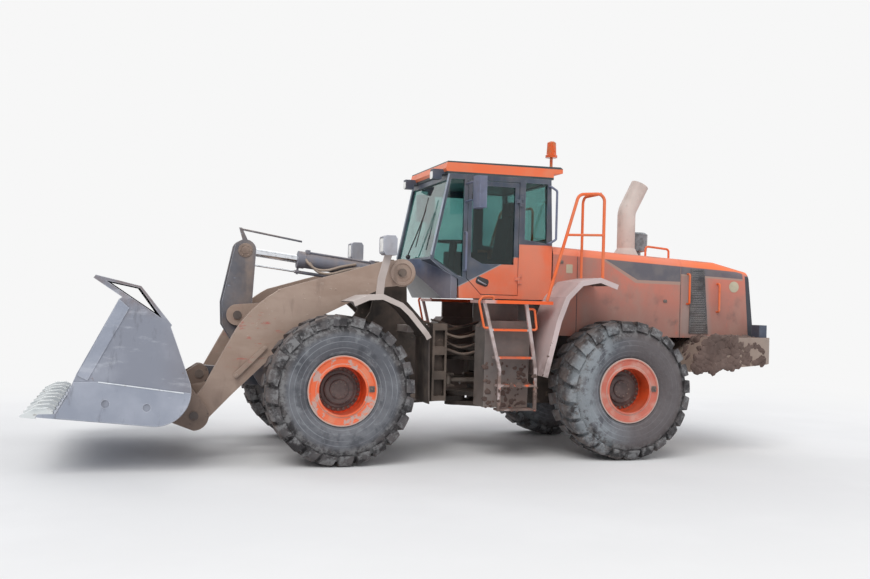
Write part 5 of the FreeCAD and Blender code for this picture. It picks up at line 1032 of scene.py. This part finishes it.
def make_camera():
    """The photograph's viewpoint and framing."""
    right = Vector((-math.cos(YAW), -math.sin(YAW), 0))
    ahead = Vector((math.sin(YAW), -math.cos(YAW), 0)) * math.cos(PITCH) + UP * math.sin(PITCH)
    above = right.cross(ahead)
    rolled_right = right * math.cos(ROLL) + above * math.sin(ROLL)
    rolled_up = above * math.cos(ROLL) - right * math.sin(ROLL)
    data = bpy.data.cameras.new("photo_camera")
    data.lens = FOCAL_PIXELS / IMAGE_WIDTH * FILM_WIDTH
    data.clip_end = 200
    camera = bpy.data.objects.new("photo_camera", data)
    scene.collection.objects.link(camera)
    turn = Matrix((rolled_right, rolled_up, -ahead)).transposed().to_4x4()
    camera.matrix_world = Matrix.Translation(point(*CAMERA_PLACE)) @ turn
    scene.camera = camera


def sun(name, toward, strength, softness, colour=(1, 1, 1)):
    """Even light from one direction, at the same level everywhere."""
    data = bpy.data.lights.new(name, "SUN")
    data.energy, data.angle, data.color = strength, math.radians(softness), colour
    lamp = bpy.data.objects.new(name, data)
    scene.collection.objects.link(lamp)
    lamp.rotation_euler = Vector(toward).to_track_quat("Z", "Y").to_euler()


def seen_ray(tree):
    """1 for camera, glossy and transmission rays."""
    path = tree.nodes.new("ShaderNodeLightPath")
    value = path.outputs["Is Camera Ray"]
    for name in ("Is Transmission Ray", "Is Glossy Ray"):
        most = tree.nodes.new("ShaderNodeMath")
        most.operation = "MAXIMUM"
        tree.links.new(value, most.inputs[0])
        tree.links.new(path.outputs[name], most.inputs[1])
        value = most.outputs[0]
    return value


def mixed(tree, share, usual, other):
    """The usual shader where a share is 0, and the other one where it is 1."""
    blend = tree.nodes.new("ShaderNodeMixShader")
    for output, socket in zip((share, usual, other), blend.inputs):
        tree.links.new(output, socket)
    return blend.outputs[0]


def make_world():
    """Soft light from all round, and the pale backdrop for rays that see it."""
    world = bpy.data.worlds.new("studio")
    scene.world = world
    world.use_nodes = True
    tree = world.node_tree
    light = tree.nodes["Background"]
    light.inputs["Color"].default_value = (0.93, 0.95, 1.0, 1)
    light.inputs["Strength"].default_value = 0.55
    shown = tree.nodes.new("ShaderNodeBackground")
    shown.inputs["Color"].default_value = BACKDROP
    shown.inputs["Strength"].default_value = 1.0
    both = mixed(tree, seen_ray(tree), light.outputs[0], shown.outputs[0])
    tree.links.new(both, tree.nodes["World Output"].inputs["Surface"])


def make_floor():
    """A pale floor that keeps the shadow and runs out into the backdrop's own colour."""
    mesh = bpy.data.meshes.new("studio_floor")
    shape = bmesh.new()
    bmesh.ops.create_grid(shape, x_segments=1, y_segments=1, size=FLOOR_HALF)
    shape.to_mesh(mesh)
    shape.free()
    floor = bpy.data.objects.new("studio_floor", mesh)
    scene.collection.objects.link(floor)
    floor.location.z = -0.001
    coat = Coat("studio_floor", 0.95)
    coat.base = coat.patchy((0.80, 0.80, 0.80, 1), (0.83, 0.83, 0.83, 1), 0.4)
    coat.finish()
    coat.shader.inputs["Specular IOR Level"].default_value = 0.0
    far = coat.node("ShaderNodeEmission", Color=BACKDROP, Strength=1.0)
    away = coat.step(coat.reach(MIDDLE_X, 0), *FADE_ALONG)
    depth = coat.step(coat.size(coat.y), *FADE_ACROSS)
    share = coat.times(coat.either(away, depth), seen_ray(coat.tree))
    both = mixed(coat.tree, share, coat.shader.outputs[0], far.outputs[0])
    coat.tree.links.new(both, coat.tree.nodes["Material Output"].inputs["Surface"])
    floor.data.materials.append(coat.material)


make_camera()
sun("key", (0.45, 0.75, 0.95), 1.55, 40, (1, 0.99, 0.97))
sun("fill", (-0.8, 0.3, 0.6), 0.45, 60, (0.95, 0.97, 1))
sun("back", (0.1, -0.8, 0.7), 0.6, 50)
make_world()
make_floor()
scene.view_settings.view_transform = "Standard"
